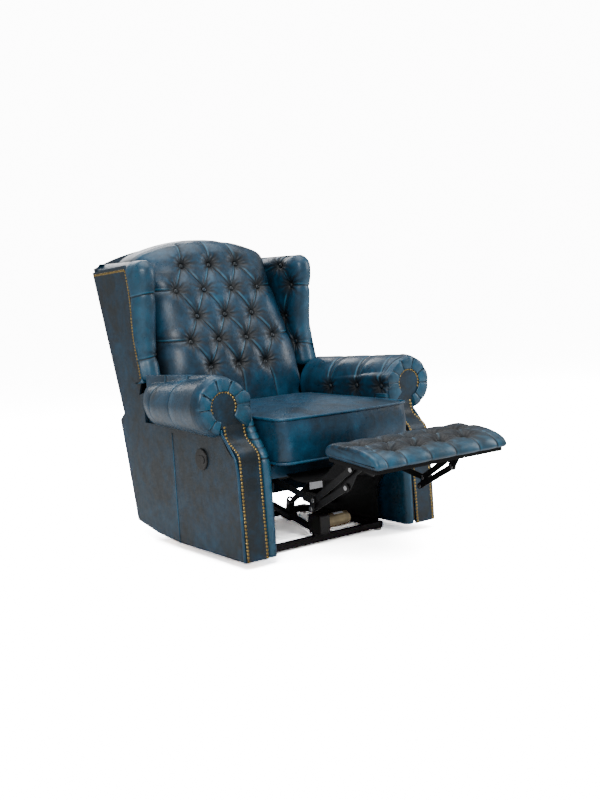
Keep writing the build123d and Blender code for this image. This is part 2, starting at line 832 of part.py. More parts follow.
save_pair(wing_pad(), "wing_pad")
save_both(wing_panel(), "wing_panels")
save_both(wing_nails(), "wing_nails")
save(outside_back(), "outside_back")


# ---- footrest -----------------------------------------------------------------------------------
def rest_point(run, drop):
    """A (y, z) point of the footrest: run forward along its top and drop below it."""
    lean = radians(REST_TILT)
    y = REST_REAR[0] - run * cos(lean) + drop * sin(lean)
    z = REST_REAR[1] - run * sin(lean) - drop * cos(lean)
    return (y, z)


def rest_block(run_from, run_to, top, bottom, half):
    """A block of the footrest between two runs and two depths."""
    outline = [
        rest_point(run_from, top),
        rest_point(run_to, top),
        rest_point(run_to, bottom),
        rest_point(run_from, bottom),
    ]
    return slab(outline, -half, half)


def rest_plane(run, x, depth):
    """A plane on the footrest's top at a run and x, sunk by a depth."""
    y, z = rest_point(run, depth)
    lean = radians(REST_TILT)
    return Plane(origin=(x, ARM_FACE + y, z), x_dir=(1, 0, 0), z_dir=(0, -sin(lean), cos(lean)))


def rest_button_planes():
    """One plane for each covered button of the footrest."""
    planes = []
    for run, count in REST_BUTTON_ROWS:
        for number in range(count):
            x = (number - (count - 1) / 2) * REST_BUTTON_PITCH
            planes.append(rest_plane(run, x, REST_BUTTON_DEPTH))
    return planes


drive_pivot = toward(DRIVE_AXIS, DRIVE_LINK, DRIVE_START)
rest_pivot = toward(drive_pivot, FRONT_LINK, FRONT_START)
control_pivot = toward(drive_pivot, CONTROL_ARM, DRIVE_START + CONTROL_ARM_TURN)
ear_pivot = toward(rest_pivot, EAR, EAR_START)
crank_pin = toward(DRIVE_AXIS, CRANK, CRANK_START)

with BuildPart() as footrest_pad:
    add(rest_block(0, REST_LENGTH, 0, REST_PAD, REST_HALF))
    fillet(footrest_pad.edges().filter_by(Axis.X).group_by(Axis.Z)[-1], 12)
    fillet(footrest_pad.edges().filter_by(Axis.X).sort_by(Axis.Y)[0], 6)
    for plane in rest_button_planes():
        with BuildSketch(plane.offset(-BUTTON_THICK)):
            Circle(POCKET_R)
        extrude(amount=POCKET_DEPTH, mode=Mode.SUBTRACT)
save(footrest_pad.part, "footrest_pad")

footrest_buttons = []
for plane in rest_button_planes():
    with BuildPart() as button:
        with BuildSketch(plane.offset(-BUTTON_THICK)):
            Circle(BUTTON_R)
        extrude(amount=BUTTON_THICK)
    footrest_buttons.append(button.part)
save(group(footrest_buttons), "footrest_buttons")

BOARD_LOW = REST_PAD + SOFT_GAP + REST_BOARD
board_runs = (REST_INSET, REST_LENGTH - REST_INSET)
save(rest_block(*board_runs, REST_PAD + SOFT_GAP, BOARD_LOW, REST_HALF - REST_INSET), "footrest_board")

FLANGE_FROM, FLANGE_TO = 40, 188  # runs along the footrest's board
FLANGE_THICK = 3
FLANGE_WIDE = 18

with BuildPart() as footrest_bracket:
    with BuildSketch(side(-BRACKET_LANE - LINK_THICK)):
        with BuildLine():
            Polyline(
                rest_point(FLANGE_FROM, BOARD_LOW),
                rest_point(FLANGE_TO, BOARD_LOW),
                (rest_pivot[0] - 85, rest_pivot[1] - 12),
                (rest_pivot[0] - 39, rest_pivot[1]),
                (rest_pivot[0] - 12, rest_pivot[1] - 16),
                (ear_pivot[0] - 14, ear_pivot[1] - 4),
                (ear_pivot[0] + 10, ear_pivot[1] - 6),
                (ear_pivot[0] + 12, ear_pivot[1] + 8),
                (rest_pivot[0] + 35, rest_pivot[1] - 27),  # clears the torque tube when folded
                close=True,
            )
        make_face()
        with Locations(ear_pivot):
            Circle(LINK_HALF)
            Circle(RIVET_R, mode=Mode.SUBTRACT)
        with Locations(rest_pivot):
            Circle(RIVET_R, mode=Mode.SUBTRACT)
    extrude(amount=LINK_THICK)
    flange = [
        rest_point(FLANGE_FROM, BOARD_LOW),
        rest_point(FLANGE_TO, BOARD_LOW),
        rest_point(FLANGE_TO, BOARD_LOW + FLANGE_THICK),
        rest_point(FLANGE_FROM, BOARD_LOW + FLANGE_THICK),
    ]
    add(slab(flange, -BRACKET_LANE - LINK_THICK, -BRACKET_LANE + FLANGE_WIDE))
save_both(footrest_bracket.part, "footrest_brackets")

screws = []
for run in (60, 114, 168):
    with BuildPart() as screw:
        with BuildSketch(rest_plane(run, -BRACKET_LANE + FLANGE_WIDE / 2, BOARD_LOW + FLANGE_THICK)):
            Circle(5)
        extrude(amount=-2.5)
    screws.append(screw.part)

bracket_x = (-FRONT_LANE - LINK_THICK - 0.3, -BRACKET_LANE)
ear_x = (-CONTROL_LANE - LINK_THICK - 0.3, -BRACKET_LANE)
rest_rivets = [rivet(rest_pivot, *bracket_x), rivet(ear_pivot, *ear_x)]
save_both(group(screws + rest_rivets), "footrest_fasteners")


# ---- footrest links -----------------------------------------------------------------------------
def drive_link():
    """Rear link, fixed on the torque tube, with a short arm for the control link."""
    with BuildPart() as link:
        add(bar(DRIVE_AXIS, drive_pivot, -DRIVE_LANE - LINK_THICK, []))
        add(bar(drive_pivot, control_pivot, -DRIVE_LANE - LINK_THICK, []))
        add(rod(DRIVE_AXIS, 15, -DRIVE_LANE - LINK_THICK, -DRIVE_LANE))
        for place, radius in ((DRIVE_AXIS, JOURNAL_R), (drive_pivot, RIVET_R), (control_pivot, RIVET_R)):
            add(rod(place, radius, -DRIVE_LANE - LINK_THICK - 1, -DRIVE_LANE + 1), mode=Mode.SUBTRACT)
    return link.part


def torque_tube():
    """Tube across the mechanism with a journal at each end and two crank plates."""
    journal_end = RISER_LANE + LINK_THICK + 6
    with BuildPart() as tube:
        add(rod(DRIVE_AXIS, TUBE_R, -DRIVE_LANE, DRIVE_LANE))
        add(rod(DRIVE_AXIS, JOURNAL_R, -journal_end, journal_end))
        for x in (ACTUATOR_X - 10, ACTUATOR_X + 10 - CRANK_PLATE):
            add(bar(DRIVE_AXIS, crank_pin, x, [(crank_pin, RIVET_R)]))
            add(rod(DRIVE_AXIS, TUBE_R + 4, x, x + CRANK_PLATE))
    return tube.part


save_both(drive_link(), "rear_links")
save(torque_tube(), "torque_tube")
save_both(
    bar(drive_pivot, rest_pivot, -FRONT_LANE - LINK_THICK, [(drive_pivot, RIVET_BORE), (rest_pivot, RIVET_BORE)]),
    "front_links",
)
save_both(
    bar(
        control_pivot,
        ear_pivot,
        -CONTROL_LANE - LINK_THICK,
        [(control_pivot, RIVET_BORE), (ear_pivot, RIVET_R + CONTROL_PLAY)],
        eye=LINK_HALF + 3,
    ),
    "control_links",
)
drive_x = (-DRIVE_LANE - LINK_THICK, -FRONT_LANE + 0.3)
control_x = (-DRIVE_LANE - LINK_THICK, -CONTROL_LANE + 0.3)
drive_rivets = [both(rivet(drive_pivot, *drive_x)), both(rivet(control_pivot, *control_x))]
drive_rivets.append(rivet(crank_pin, ACTUATOR_X - 10, ACTUATOR_X + 10))
save(group(drive_rivets), "drive_rivets")


# ---- actuator -----------------------------------------------------------------------------------
def track_point(run, rise):
    """A (y, z) point of the actuator: run rearward along the pivot line and rise above it."""
    lean = radians(ACTUATOR_TILT)
    y = PIVOT_LINE[0] + run * cos(lean) - rise * sin(lean)
    z = PIVOT_LINE[1] + run * sin(lean) + rise * cos(lean)
    return (y, z)


def carriage_run():
    """How far along the pivot line the push link's end lies at rest."""
    lean = radians(ACTUATOR_TILT)
    dy = PIVOT_LINE[0] - crank_pin[0]
    dz = PIVOT_LINE[1] - crank_pin[1]
    half_b = dy * cos(lean) + dz * sin(lean)
    return -half_b + sqrt(half_b**2 - (dy**2 + dz**2 - PUSH_LINK**2))


def track_block(run_from, run_to, low, high, x_from, x_to):
    """A block along the actuator's line."""
    outline = [
        track_point(run_from, low),
        track_point(run_to, low),
        track_point(run_to, high),
        track_point(run_from, high),
    ]
    return slab(outline, x_from, x_to)


run = carriage_run()
carriage_pivot = track_point(run, 0)
track_low = -RAIL_DROP - TRACK_HIGH / 2
track_high = -RAIL_DROP + TRACK_HIGH / 2
track_x = (ACTUATOR_X - TRACK_WIDE / 2, ACTUATOR_X + TRACK_WIDE / 2)
save(track_block(2, TRACK_LENGTH, track_low, track_high, *track_x), "actuator_rail")

with BuildPart() as carriage:
    add(track_block(run - 26, run + 26, track_low - 5, track_high + 5, track_x[0] - 5, track_x[1] + 5))
    slot_z = (track_low - 0.05, track_high + 0.05)
    slot_x = (track_x[0] - 0.05, track_x[1] + 0.05)
    add(track_block(run - 30, run + 30, *slot_z, *slot_x), mode=Mode.SUBTRACT)
    for x in (ACTUATOR_X - 10, ACTUATOR_X + 10 - CRANK_PLATE):
        add(track_block(run - 11, run + 11, track_high + 4, 0, x, x + CRANK_PLATE))
        add(rod(carriage_pivot, 11, x, x + CRANK_PLATE))
    add(rod(carriage_pivot, RIVET_R, ACTUATOR_X - 20, ACTUATOR_X + 20), mode=Mode.SUBTRACT)
save(carriage.part, "actuator_carriage")
save(rivet(carriage_pivot, ACTUATOR_X - 10, ACTUATOR_X + 10), "carriage_rivet")
save(
    bar(
        crank_pin,
        carriage_pivot,
        ACTUATOR_X - LINK_THICK / 2,
        [(crank_pin, RIVET_BORE), (carriage_pivot, RIVET_R + PUSH_PLAY)],
        eye=PUSH_EYE,
    ),
    "push_link",
)

with BuildPart() as gearbox:
    with BuildSketch(side(ACTUATOR_X - GEARBOX_WIDE / 2)):
        with Locations((96, 76)):
            RectangleRounded(66, 64, 8)
    extrude(amount=GEARBOX_WIDE)
save(gearbox.part, "actuator_gearbox")

motor_from = ACTUATOR_X + GEARBOX_WIDE / 2
with BuildPart() as motor:
    add(rod(MOTOR_AT, MOTOR_R, motor_from, motor_from + MOTOR_LENGTH))
    add(rod(MOTOR_AT, MOTOR_R - 6, motor_from + MOTOR_LENGTH, motor_from + MOTOR_LENGTH + 5))
    chamfer(motor.edges().filter_by(GeomType.CIRCLE).sort_by(Axis.X)[1:2], 1.5)
save(motor.part, "actuator_motor")

FRONT_STAY = [
    (RAIL_FRONT - 10, RAIL_TOP),
    (RAIL_FRONT - 10, 44),
    (RAIL_FRONT + 7, 44),
    (RAIL_FRONT + 7, RAIL_TOP),
]
REAR_STAY = [
    track_point(TRACK_LENGTH - 30, track_low),
    track_point(TRACK_LENGTH - 6, track_low),
    (RAIL_REAR + 6, RAIL_TOP + 16),
    (RAIL_REAR + 6, RAIL_TOP),
    (RAIL_REAR - 10, RAIL_TOP),
]
stays = [slab(FRONT_STAY, ACTUATOR_X - 9, ACTUATOR_X + 9), slab(REAR_STAY, ACTUATOR_X - 6, ACTUATOR_X + 6)]
save(group(stays), "actuator_stays")


# ---- floor frame --------------------------------------------------------------------------------
def floor_rail(y):
    """A square tube across the floor frame."""
    front = y - RAIL_BOX / 2
    rear = y + RAIL_BOX / 2
    outline = [(front, GLIDE), (front, RAIL_TOP), (rear, RAIL_TOP), (rear, GLIDE)]
    return slab(outline, -RAIL_SIDE_X - RAIL_BOX / 2, RAIL_SIDE_X + RAIL_BOX / 2)


def riser():
    """Steel side plate that carries the torque tube and the rollers."""
    outline = [
        (RISER_FRONT, 226),
        (RISER_FRONT, RISER_HIGH),
        (RISER_REAR, RISER_HIGH),
        (RISER_REAR, RAIL_TOP),
        (RAIL_FRONT, RAIL_TOP),
        (RAIL_FRONT, 150),
    ]
    with BuildPart() as plate:
        add(slab(outline, -RISER_LANE - LINK_THICK, -RISER_LANE))
        add(rod(DRIVE_AXIS, JOURNAL_R + PIN_PLAY, -RISER_LANE - 10, -RISER_LANE + 10), mode=Mode.SUBTRACT)
    return plate.part


side_x = (-RAIL_SIDE_X - RAIL_BOX / 2, -RAIL_SIDE_X + RAIL_BOX / 2)
SIDE_FLOOR = [
    (RAIL_FRONT + RAIL_BOX / 2, GLIDE),
    (RAIL_FRONT + RAIL_BOX / 2, RAIL_TOP),
    (RAIL_REAR - RAIL_BOX / 2, RAIL_TOP),
    (RAIL_REAR - RAIL_BOX / 2, GLIDE),
]
save(group([floor_rail(RAIL_FRONT), floor_rail(RAIL_REAR)]), "floor_cross_rails")
save_both(slab(SIDE_FLOOR, *side_x), "floor_side_rails")
save_both(riser(), "riser_plates")

glides = []
for x in (-RAIL_SIDE_X + 6, RAIL_SIDE_X - 6):
    for y in (RAIL_FRONT, RAIL_REAR):
        with BuildPart() as glide:
            with BuildSketch(level(0)):
                with Locations((x, y)):
                    Circle(GLIDE_R)
            extrude(amount=GLIDE)
            chamfer(glide.edges().group_by(Axis.Z)[0], 1.5)
        glides.append(glide.part)
save(group(glides), "floor_glides")

tie_x = (-SEAT_HALF + 0.3, -RISER_LANE - LINK_THICK)
ties = []
for y in (150, 440):
    ties.append(slab([(y, 110), (y, 150), (y + 40, 150), (y + 40, 110)], *tie_x))
save_both(group(ties), "arm_ties")

axles = []
for name, y in ROLLER_PLACES:
    place = (y, ROLLER_Z)
    lane = (-SEAT_RAIL_X - 3 - ROLLER_WIDE, -SEAT_RAIL_X - 3)
    with BuildPart() as roller:
        add(rod(place, ROLLER_R, *lane))
        add(rod(place, ROLLER_AXLE + PIN_PLAY, lane[0] - 1, lane[1] + 1), mode=Mode.SUBTRACT)
    save_both(roller.part, f"rollers_{name}")
    with BuildPart() as axle:
        add(rod(place, ROLLER_AXLE, -RISER_LANE, lane[1] + 0.3))
        add(rod(place, ROLLER_AXLE + 3, lane[1] + 0.3, lane[1] + 2.5))
    axles.append(both(axle.part))
save(group(axles), "roller_axles")

CONTROL_BOX = [(390, 60), (390, 98), (500, 98), (500, 60)]
save(slab(CONTROL_BOX, RISER_LANE - 46, RISER_LANE), "control_box")


# ---- soft links between the seat and the footrest -----------------------------------------------
CLOTH = [
    (BORDER_Y - 0.5, 274),
    (BORDER_Y - 3.5, 270),
    (-80, 262),
    (-180, 310),
    (-238, 364),
    (-236, 368),
    (-178, 314),
    (-80, 266),
]
save(slab(CLOTH, -200, 200), "gap_cloth")

tag_at = (-86, ARM_FACE + BORDER_Y - 0.6, 273)
with BuildPart() as tag:
    with BuildSketch(Plane(origin=tag_at, x_dir=(1, 0, 0), z_dir=(0, -1, 0))):
        with Locations((0, -34)):
            Rectangle(52, 60)
    extrude(amount=0.8)
save(tag.part, "blank_tag")
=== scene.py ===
"""Looks of the recliner armchair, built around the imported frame.

Lengths are in mm, with y measured rearward from the arms' front faces.
"""

import math

import bmesh
import bpy
import numpy as np
from mathutils import Matrix, Vector


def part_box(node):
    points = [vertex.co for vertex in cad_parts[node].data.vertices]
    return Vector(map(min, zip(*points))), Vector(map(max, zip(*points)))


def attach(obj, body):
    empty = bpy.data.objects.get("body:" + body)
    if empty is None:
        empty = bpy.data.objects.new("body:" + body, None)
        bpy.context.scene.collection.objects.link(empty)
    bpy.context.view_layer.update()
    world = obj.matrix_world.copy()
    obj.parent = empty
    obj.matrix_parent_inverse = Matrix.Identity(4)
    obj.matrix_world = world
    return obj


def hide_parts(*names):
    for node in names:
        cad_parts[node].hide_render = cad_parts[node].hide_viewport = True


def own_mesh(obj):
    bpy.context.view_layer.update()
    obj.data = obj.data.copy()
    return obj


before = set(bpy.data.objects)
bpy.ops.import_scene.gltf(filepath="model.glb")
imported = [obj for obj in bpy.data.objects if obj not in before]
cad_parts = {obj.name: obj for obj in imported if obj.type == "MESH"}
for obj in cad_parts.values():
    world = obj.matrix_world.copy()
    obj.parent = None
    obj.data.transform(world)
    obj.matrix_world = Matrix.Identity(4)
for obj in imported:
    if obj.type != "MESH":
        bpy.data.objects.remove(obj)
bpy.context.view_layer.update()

FACING_RECESS = 4.0  # the facings stand this far behind the arms' faces
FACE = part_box("arm_facings")[0].y * 1000 - FACING_RECESS
ARM_OUT = 400.0
WELT_R = 4.6
ROOM_LIGHT = 0.42  # strength of the world as light
ROOM_WHITE = 12.6  # strength of the world as the camera sees it
FLOOR_WHITE = 30.0  # the floor's brightness to the camera, to match the world


# ---- camera and light ----------------------------------------------------------------------------
camera = bpy.data.objects.new("camera", bpy.data.cameras.new("camera"))
bpy.context.scene.collection.objects.link(camera)
camera.data.lens = 47.95
camera.data.clip_end = 60
turn = Matrix.Rotation(math.radians(-36.42), 4, "Z") @ Matrix.Rotation(math.radians(83.71), 4, "X")
turn = turn @ Matrix.Rotation(math.radians(-3.15), 4, "Z")
camera.matrix_world = Matrix.Translation((-2.149, FACE / 1000 - 2.691, 0.879)) @ turn
bpy.context.scene.camera = camera


def area_light(name, place, target, size, power):
    """A soft rectangular light that looks at a target."""
    data = bpy.data.lights.new(name, "AREA")
    data.shape = "RECTANGLE"
    data.size, data.size_y = size
    data.energy = power
    light = bpy.data.objects.new(name, data)
    bpy.context.scene.collection.objects.link(light)
    light.location = place
    light.rotation_euler = (Vector(target) - Vector(place)).to_track_quat("-Z", "Y").to_euler()


area_light("key_light", (-2.2, -2.6, 2.9), (0, 0, 0.5), (1.5, 1.2), 75)
area_light("top_light", (0.3, 0.2, 3.4), (0, 0, 0.5), (2.6, 2.6), 55)
area_light("fill_light", (3.2, -1.2, 1.8), (0, 0, 0.6), (1.2, 2.0), 38)
area_light("rear_light", (0.5, 3.2, 2.4), (0, 0, 0.6), (2.4, 1.2), 40)

world = bpy.data.worlds.new("studio")
world.use_nodes = True
backdrop = world.node_tree.nodes["Background"]
backdrop.inputs["Color"].default_value = (1, 1, 1, 1)
sight = world.node_tree.nodes.new("ShaderNodeLightPath")
glow = world.node_tree.nodes.new("ShaderNodeMapRange")
for socket, number in zip(glow.inputs, (0, 0, 1, ROOM_LIGHT, ROOM_WHITE)):
    socket.default_value = number
world.node_tree.links.new(sight.outputs["Is Camera Ray"], glow.inputs["Value"])
world.node_tree.links.new(glow.outputs["Result"], backdrop.inputs["Strength"])
bpy.context.scene.world = world


# ---- materials -----------------------------------------------------------------------------------
class Shader:
    """A material's node tree with short calls for the nodes used here."""

    def __init__(self, name):
        self.material = bpy.data.materials.new(name)
        self.material.use_nodes = True
        self.tree = self.material.node_tree
        self.bsdf = self.tree.nodes["Principled BSDF"]
        self.coords = self.tree.nodes.new("ShaderNodeTexCoord").outputs["Object"]

    def put(self, socket, value):
        if isinstance(value, bpy.types.NodeSocket):
            self.tree.links.new(value, socket)
        else:
            socket.default_value = value

    def set(self, **values):
        for name, value in values.items():
            self.put(self.bsdf.inputs[name.replace("_", " ")], value)

    def noise(self, scale, detail=4.0, rough=0.55, vector=None, warp=0.0):
        node = self.tree.nodes.new("ShaderNodeTexNoise")
        self.put(node.inputs["Vector"], vector or self.coords)
        self.put(node.inputs["Scale"], scale)
        self.put(node.inputs["Detail"], detail)
        self.put(node.inputs["Roughness"], rough)
        self.put(node.inputs["Distortion"], warp)
        return node.outputs["Fac"]

    def cells(self, scale, feature="DISTANCE_TO_EDGE"):
        node = self.tree.nodes.new("ShaderNodeTexVoronoi")
        node.feature = feature
        self.put(node.inputs["Vector"], self.coords)
        self.put(node.inputs["Scale"], scale)
        return node.outputs["Distance"]

    def stretch(self, scale):
        node = self.tree.nodes.new("ShaderNodeMapping")
        self.put(node.inputs["Vector"], self.coords)
        node.inputs["Scale"].default_value = scale
        return node.outputs["Vector"]

    def math(self, operation, a, b=0.0, clamp=False):
        node = self.tree.nodes.new("ShaderNodeMath")
        node.operation = operation
        node.use_clamp = clamp
        self.put(node.inputs[0], a)
        self.put(node.inputs[1], b)
        return node.outputs[0]

    def remap(self, value, low, high, to_low=0.0, to_high=1.0):
        node = self.tree.nodes.new("ShaderNodeMapRange")
        for socket, number in zip(node.inputs, (value, low, high, to_low, to_high)):
            self.put(socket, number)
        return node.outputs["Result"]

    def ramp(self, value, stops):
        node = self.tree.nodes.new("ShaderNodeValToRGB")
        self.put(node.inputs["Fac"], value)
        for stop, (position, colour) in enumerate(stops):
            if stop < 2:
                element = node.color_ramp.elements[stop]
                element.position = position
            else:
                element = node.color_ramp.elements.new(position)
            element.color = (*colour, 1)
        return node.outputs["Color"]

    def mix(self, share, a, b):
        node = self.tree.nodes.new("ShaderNodeMix")
        node.data_type = "RGBA"
        self.put(node.inputs["Factor"], share)
        for socket, value in zip((node.inputs[6], node.inputs[7]), (a, b)):
            self.put(socket, value if isinstance(value, bpy.types.NodeSocket) else (*value, 1))
        return node.outputs[2]

    def attribute(self, name):
        node = self.tree.nodes.new("ShaderNodeAttribute")
        node.attribute_name = name
        return node.outputs["Fac"]

    def bump(self, height, strength, distance, under=None):
        node = self.tree.nodes.new("ShaderNodeBump")
        self.put(node.inputs["Height"], height)
        node.inputs["Strength"].default_value = strength
        node.inputs["Distance"].default_value = distance
        if under:
            self.put(node.inputs["Normal"], under)
        return node.outputs["Normal"]


BLUE_LIGHT = (0.026, 0.150, 0.262)
BLUE = (0.0080, 0.064, 0.128)
BLUE_DEEP = (0.0060, 0.032, 0.062)
CHARCOAL = (0.0092, 0.0165, 0.0230)
# near-black colour of the painted shade in folds and pits
PAINTED_SHADE_BLACK = (0.0022, 0.0022, 0.0026)


def leather(name, bias, gloss):
    """Hand-rubbed leather: blue over charcoal, with painted shade in the folds and a painted
    highlight on their edges.
    """
    s = Shader(name)
    patches = s.noise(7.0, 5, 0.6, warp=0.6)
    blotches = s.noise(26.0, 6, 0.65, warp=0.4)
    streaks = s.noise(11.0, 4, 0.6, s.stretch((1, 1, 0.35)))
    value = s.math("ADD", s.math("MULTIPLY", patches, 0.42), s.math("MULTIPLY", blotches, 0.33))
    value = s.math("ADD", s.math("ADD", value, s.math("MULTIPLY", streaks, 0.25)), bias)
    colour = s.ramp(value, [(0.36, CHARCOAL), (0.74, BLUE_LIGHT), (0.46, BLUE_DEEP), (0.58, BLUE)])
    painted_shade = s.attribute("painted_shade")
    edge = s.attribute("edge")
    # painted highlight: pale blue on the folds' lips and the lit fronts, broken up by the blotches
    painted_highlight_share = s.math("MULTIPLY", edge, s.remap(blotches, 0.3, 0.7, 0.55, 1.0), clamp=True)
    colour = s.mix(painted_highlight_share, colour, (0.050, 0.225, 0.360))
    # painted shade: near-black in the folds and pits
    colour = s.mix(s.math("MULTIPLY", painted_shade, 0.96, clamp=True), colour, PAINTED_SHADE_BLACK)
    grain = s.math("MINIMUM", s.cells(620.0), 0.25)
    pores = s.noise(1500.0, 2, 0.5)
    creases = s.noise(95.0, 5, 0.7, warp=1.2)
    height = s.math("ADD", s.math("MULTIPLY", grain, 1.2), s.math("MULTIPLY", pores, 0.25))
    normal = s.bump(creases, 0.22, 0.0022)
    normal = s.bump(height, 0.30, 0.0006, normal)
    rough = s.remap(s.noise(42.0, 5, 0.65), 0.3, 0.7, gloss - 0.05, gloss + 0.10)
    rough = s.math("ADD", rough, s.math("MULTIPLY", painted_shade, 0.3), clamp=True)
    s.set(Base_Color=colour, Roughness=rough, Normal=normal, Coat_Weight=0.10, Coat_Roughness=0.22)
    return s.material


def metal(name, colour, rough, metallic=1.0, scratch=0.06, grain=240.0):
    """Plated or painted metal with a little unevenness."""
    s = Shader(name)
    tone = s.noise(30.0, 4, 0.6)
    fine = s.noise(grain, 3, 0.6)
    dark = tuple(c * 0.6 for c in colour)
    s.set(Base_Color=s.mix(s.remap(tone, 0.3, 0.75), colour, dark), Metallic=metallic)
    s.set(Roughness=s.remap(fine, 0.3, 0.7, rough - scratch, rough + scratch))
    s.set(Normal=s.bump(fine, 0.12, 0.0004))
    return s.material


def plastic(name, colour, rough, grain=700.0):
    """Moulded plastic or paper with a fine grain."""
    s = Shader(name)
    tone = s.noise(18.0, 3, 0.5)
    dark = tuple(c * 0.82 for c in colour)
    s.set(Base_Color=s.mix(s.remap(tone, 0.35, 0.7), colour, dark))
    s.set(Roughness=s.remap(tone, 0.3, 0.7, rough - 0.05, rough + 0.05))
    s.set(Normal=s.bump(s.noise(grain, 2, 0.5), 0.15, 0.0003))
    return s.material


def wood(name):
    """Plain pale hardwood with long grain."""
    s = Shader(name)
    rings = s.noise(22.0, 5, 0.6, s.stretch((1, 1, 0.12)), warp=0.8)
    fibre = s.noise(180.0, 3, 0.6, s.stretch((1, 1, 0.05)))
    colour = s.ramp(rings, [(0.3, (0.22, 0.12, 0.055)), (0.7, (0.42, 0.27, 0.14))])
    s.set(Base_Color=colour, Roughness=0.6, Normal=s.bump(fibre, 0.25, 0.0006))
    return s.material


def cloth(name, colour):
    """Black lining cloth with a plain weave."""
    s = Shader(name)
    weave = s.tree.nodes.new("ShaderNodeTexWave")
    s.put(weave.inputs["Vector"], s.coords)
    weave.inputs["Scale"].default_value = 260
    cross = s.tree.nodes.new("ShaderNodeTexWave")
    cross.bands_direction = "Y"
    s.put(cross.inputs["Vector"], s.coords)
    cross.inputs["Scale"].default_value = 260
    threads = s.math("MULTIPLY", weave.outputs["Fac"], cross.outputs["Fac"])
    pale = tuple(min(1, c * 1.5) for c in colour)
    s.set(Base_Color=s.mix(s.math("MULTIPLY", threads, s.noise(9.0, 4)), colour, pale))
    s.set(Roughness=0.9, Normal=s.bump(threads, 0.4, 0.0005), Specular_IOR_Level=0.2)
    return s.material


def brass():
    """Antique gold nailheads with a mottled dark and light tone."""
    s = Shader("brass_nails")
    tone = s.noise(260.0, 4, 0.65)
    colour = s.ramp(tone, [(0.34, (0.11, 0.066, 0.020)), (0.66, (0.62, 0.45, 0.17))])
    s.set(Base_Color=colour, Metallic=1.0, Roughness=s.remap(tone, 0.3, 0.7, 0.42, 0.24))
    s.set(Normal=s.bump(s.noise(900.0, 2), 0.12, 0.0003))
    return s.material


MATERIALS = {
    "leather": leather("leather", 0.012, 0.30),
    "leather_dark": leather("leather_dark", -0.075, 0.40),
    "leather_edge": leather("leather_edge", 0.10, 0.30),
    "covered_buttons": leather("covered_buttons", -0.16, 0.24),
    "brass_nails": brass(),
    "wood": wood("wood"),
    "black_steel": metal("black_steel", (0.012, 0.012, 0.013), 0.34, 0.4),
    "spring_steel": metal("spring_steel", (0.35, 0.35, 0.36), 0.32),
    "rivet_steel": metal("rivet_steel", (0.55, 0.55, 0.56), 0.26),
    "white_nylon": plastic("white_nylon", (0.75, 0.74, 0.70), 0.45),
    "tan_plastic": metal("tan_plastic", (0.42, 0.34, 0.20), 0.36, 0.55),
    "black_plastic": plastic("black_plastic", (0.016, 0.015, 0.015), 0.42),
    "black_cloth": cloth("black_cloth", (0.012, 0.012, 0.013)),
    "white_tag": plastic("white_tag", (0.80, 0.82, 0.86), 0.6),
}
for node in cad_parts.values():
    for held in node.material_slots:
        held.material = MATERIALS[held.material.name.split(".")[0]]


# ---- mesh helpers --------------------------------------------------------------------------------
def smooth_line(points, count):
    """Evenly spaced points of a smooth line through the given ones."""
    p = np.array(points, float)
    t = np.r_[0, np.cumsum(np.linalg.norm(np.diff(p, axis=0), axis=1))]
    slope = np.gradient(p, t, axis=0)
    fine = np.linspace(0, t[-1], 30 * len(p))
    i = np.clip(np.searchsorted(t, fine) - 1, 0, len(p) - 2)
    h = (t[i + 1] - t[i])[:, None]
    s = (fine - t[i])[:, None] / h
    line = (2 * s**3 - 3 * s**2 + 1) * p[i] + (s**3 - 2 * s**2 + s) * h * slope[i]
    line += (3 * s**2 - 2 * s**3) * p[i + 1] + (s**3 - s**2) * h * slope[i + 1]
    return spread(line, count)


def spread(line, count):
    """The same line with evenly spaced points."""
    line = np.array(line, float)
    t = np.r_[0, np.cumsum(np.linalg.norm(np.diff(line, axis=0), axis=1))]
    even = np.linspace(0, t[-1], count)
    return np.stack([np.interp(even, t, line[:, k]) for k in range(line.shape[1])], axis=1)


def lengths(line):
    """Distance along a line at each of its points."""
    return np.r_[0, np.cumsum(np.linalg.norm(np.diff(line, axis=0), axis=1))]


def ease(value):
    """Smooth step from 0 to 1."""
    value = np.clip(value, 0, 1)
    return value * value * (3 - 2 * value)


def arc_drop(value):
    """0 at 0, rising like a circle's edge to 1 at 1."""
    value = np.clip(value, 0, 1)
    return 1 - np.sqrt(1 - value**2)


def normals(grid):
    """Normals of a grid of closed loops: along the first index, around the second."""
    along = np.gradient(grid, axis=0)
    wrapped = np.concatenate([grid[:, -1:], grid, grid[:, :1]], axis=1)
    around = np.gradient(wrapped, axis=1)[:, 1:-1]
    normal = np.cross(around, along)
    size = np.linalg.norm(normal, axis=2, keepdims=True)
    return normal / np.maximum(size, 1e-9)


def outward(grid):
    """Normals that point away from the middle of the grid's loops."""
    normal = normals(grid)
    middle = grid.mean(axis=1, keepdims=True)
    if np.sum(normal * (grid - middle)) < 0:
        normal = -normal
    return normal


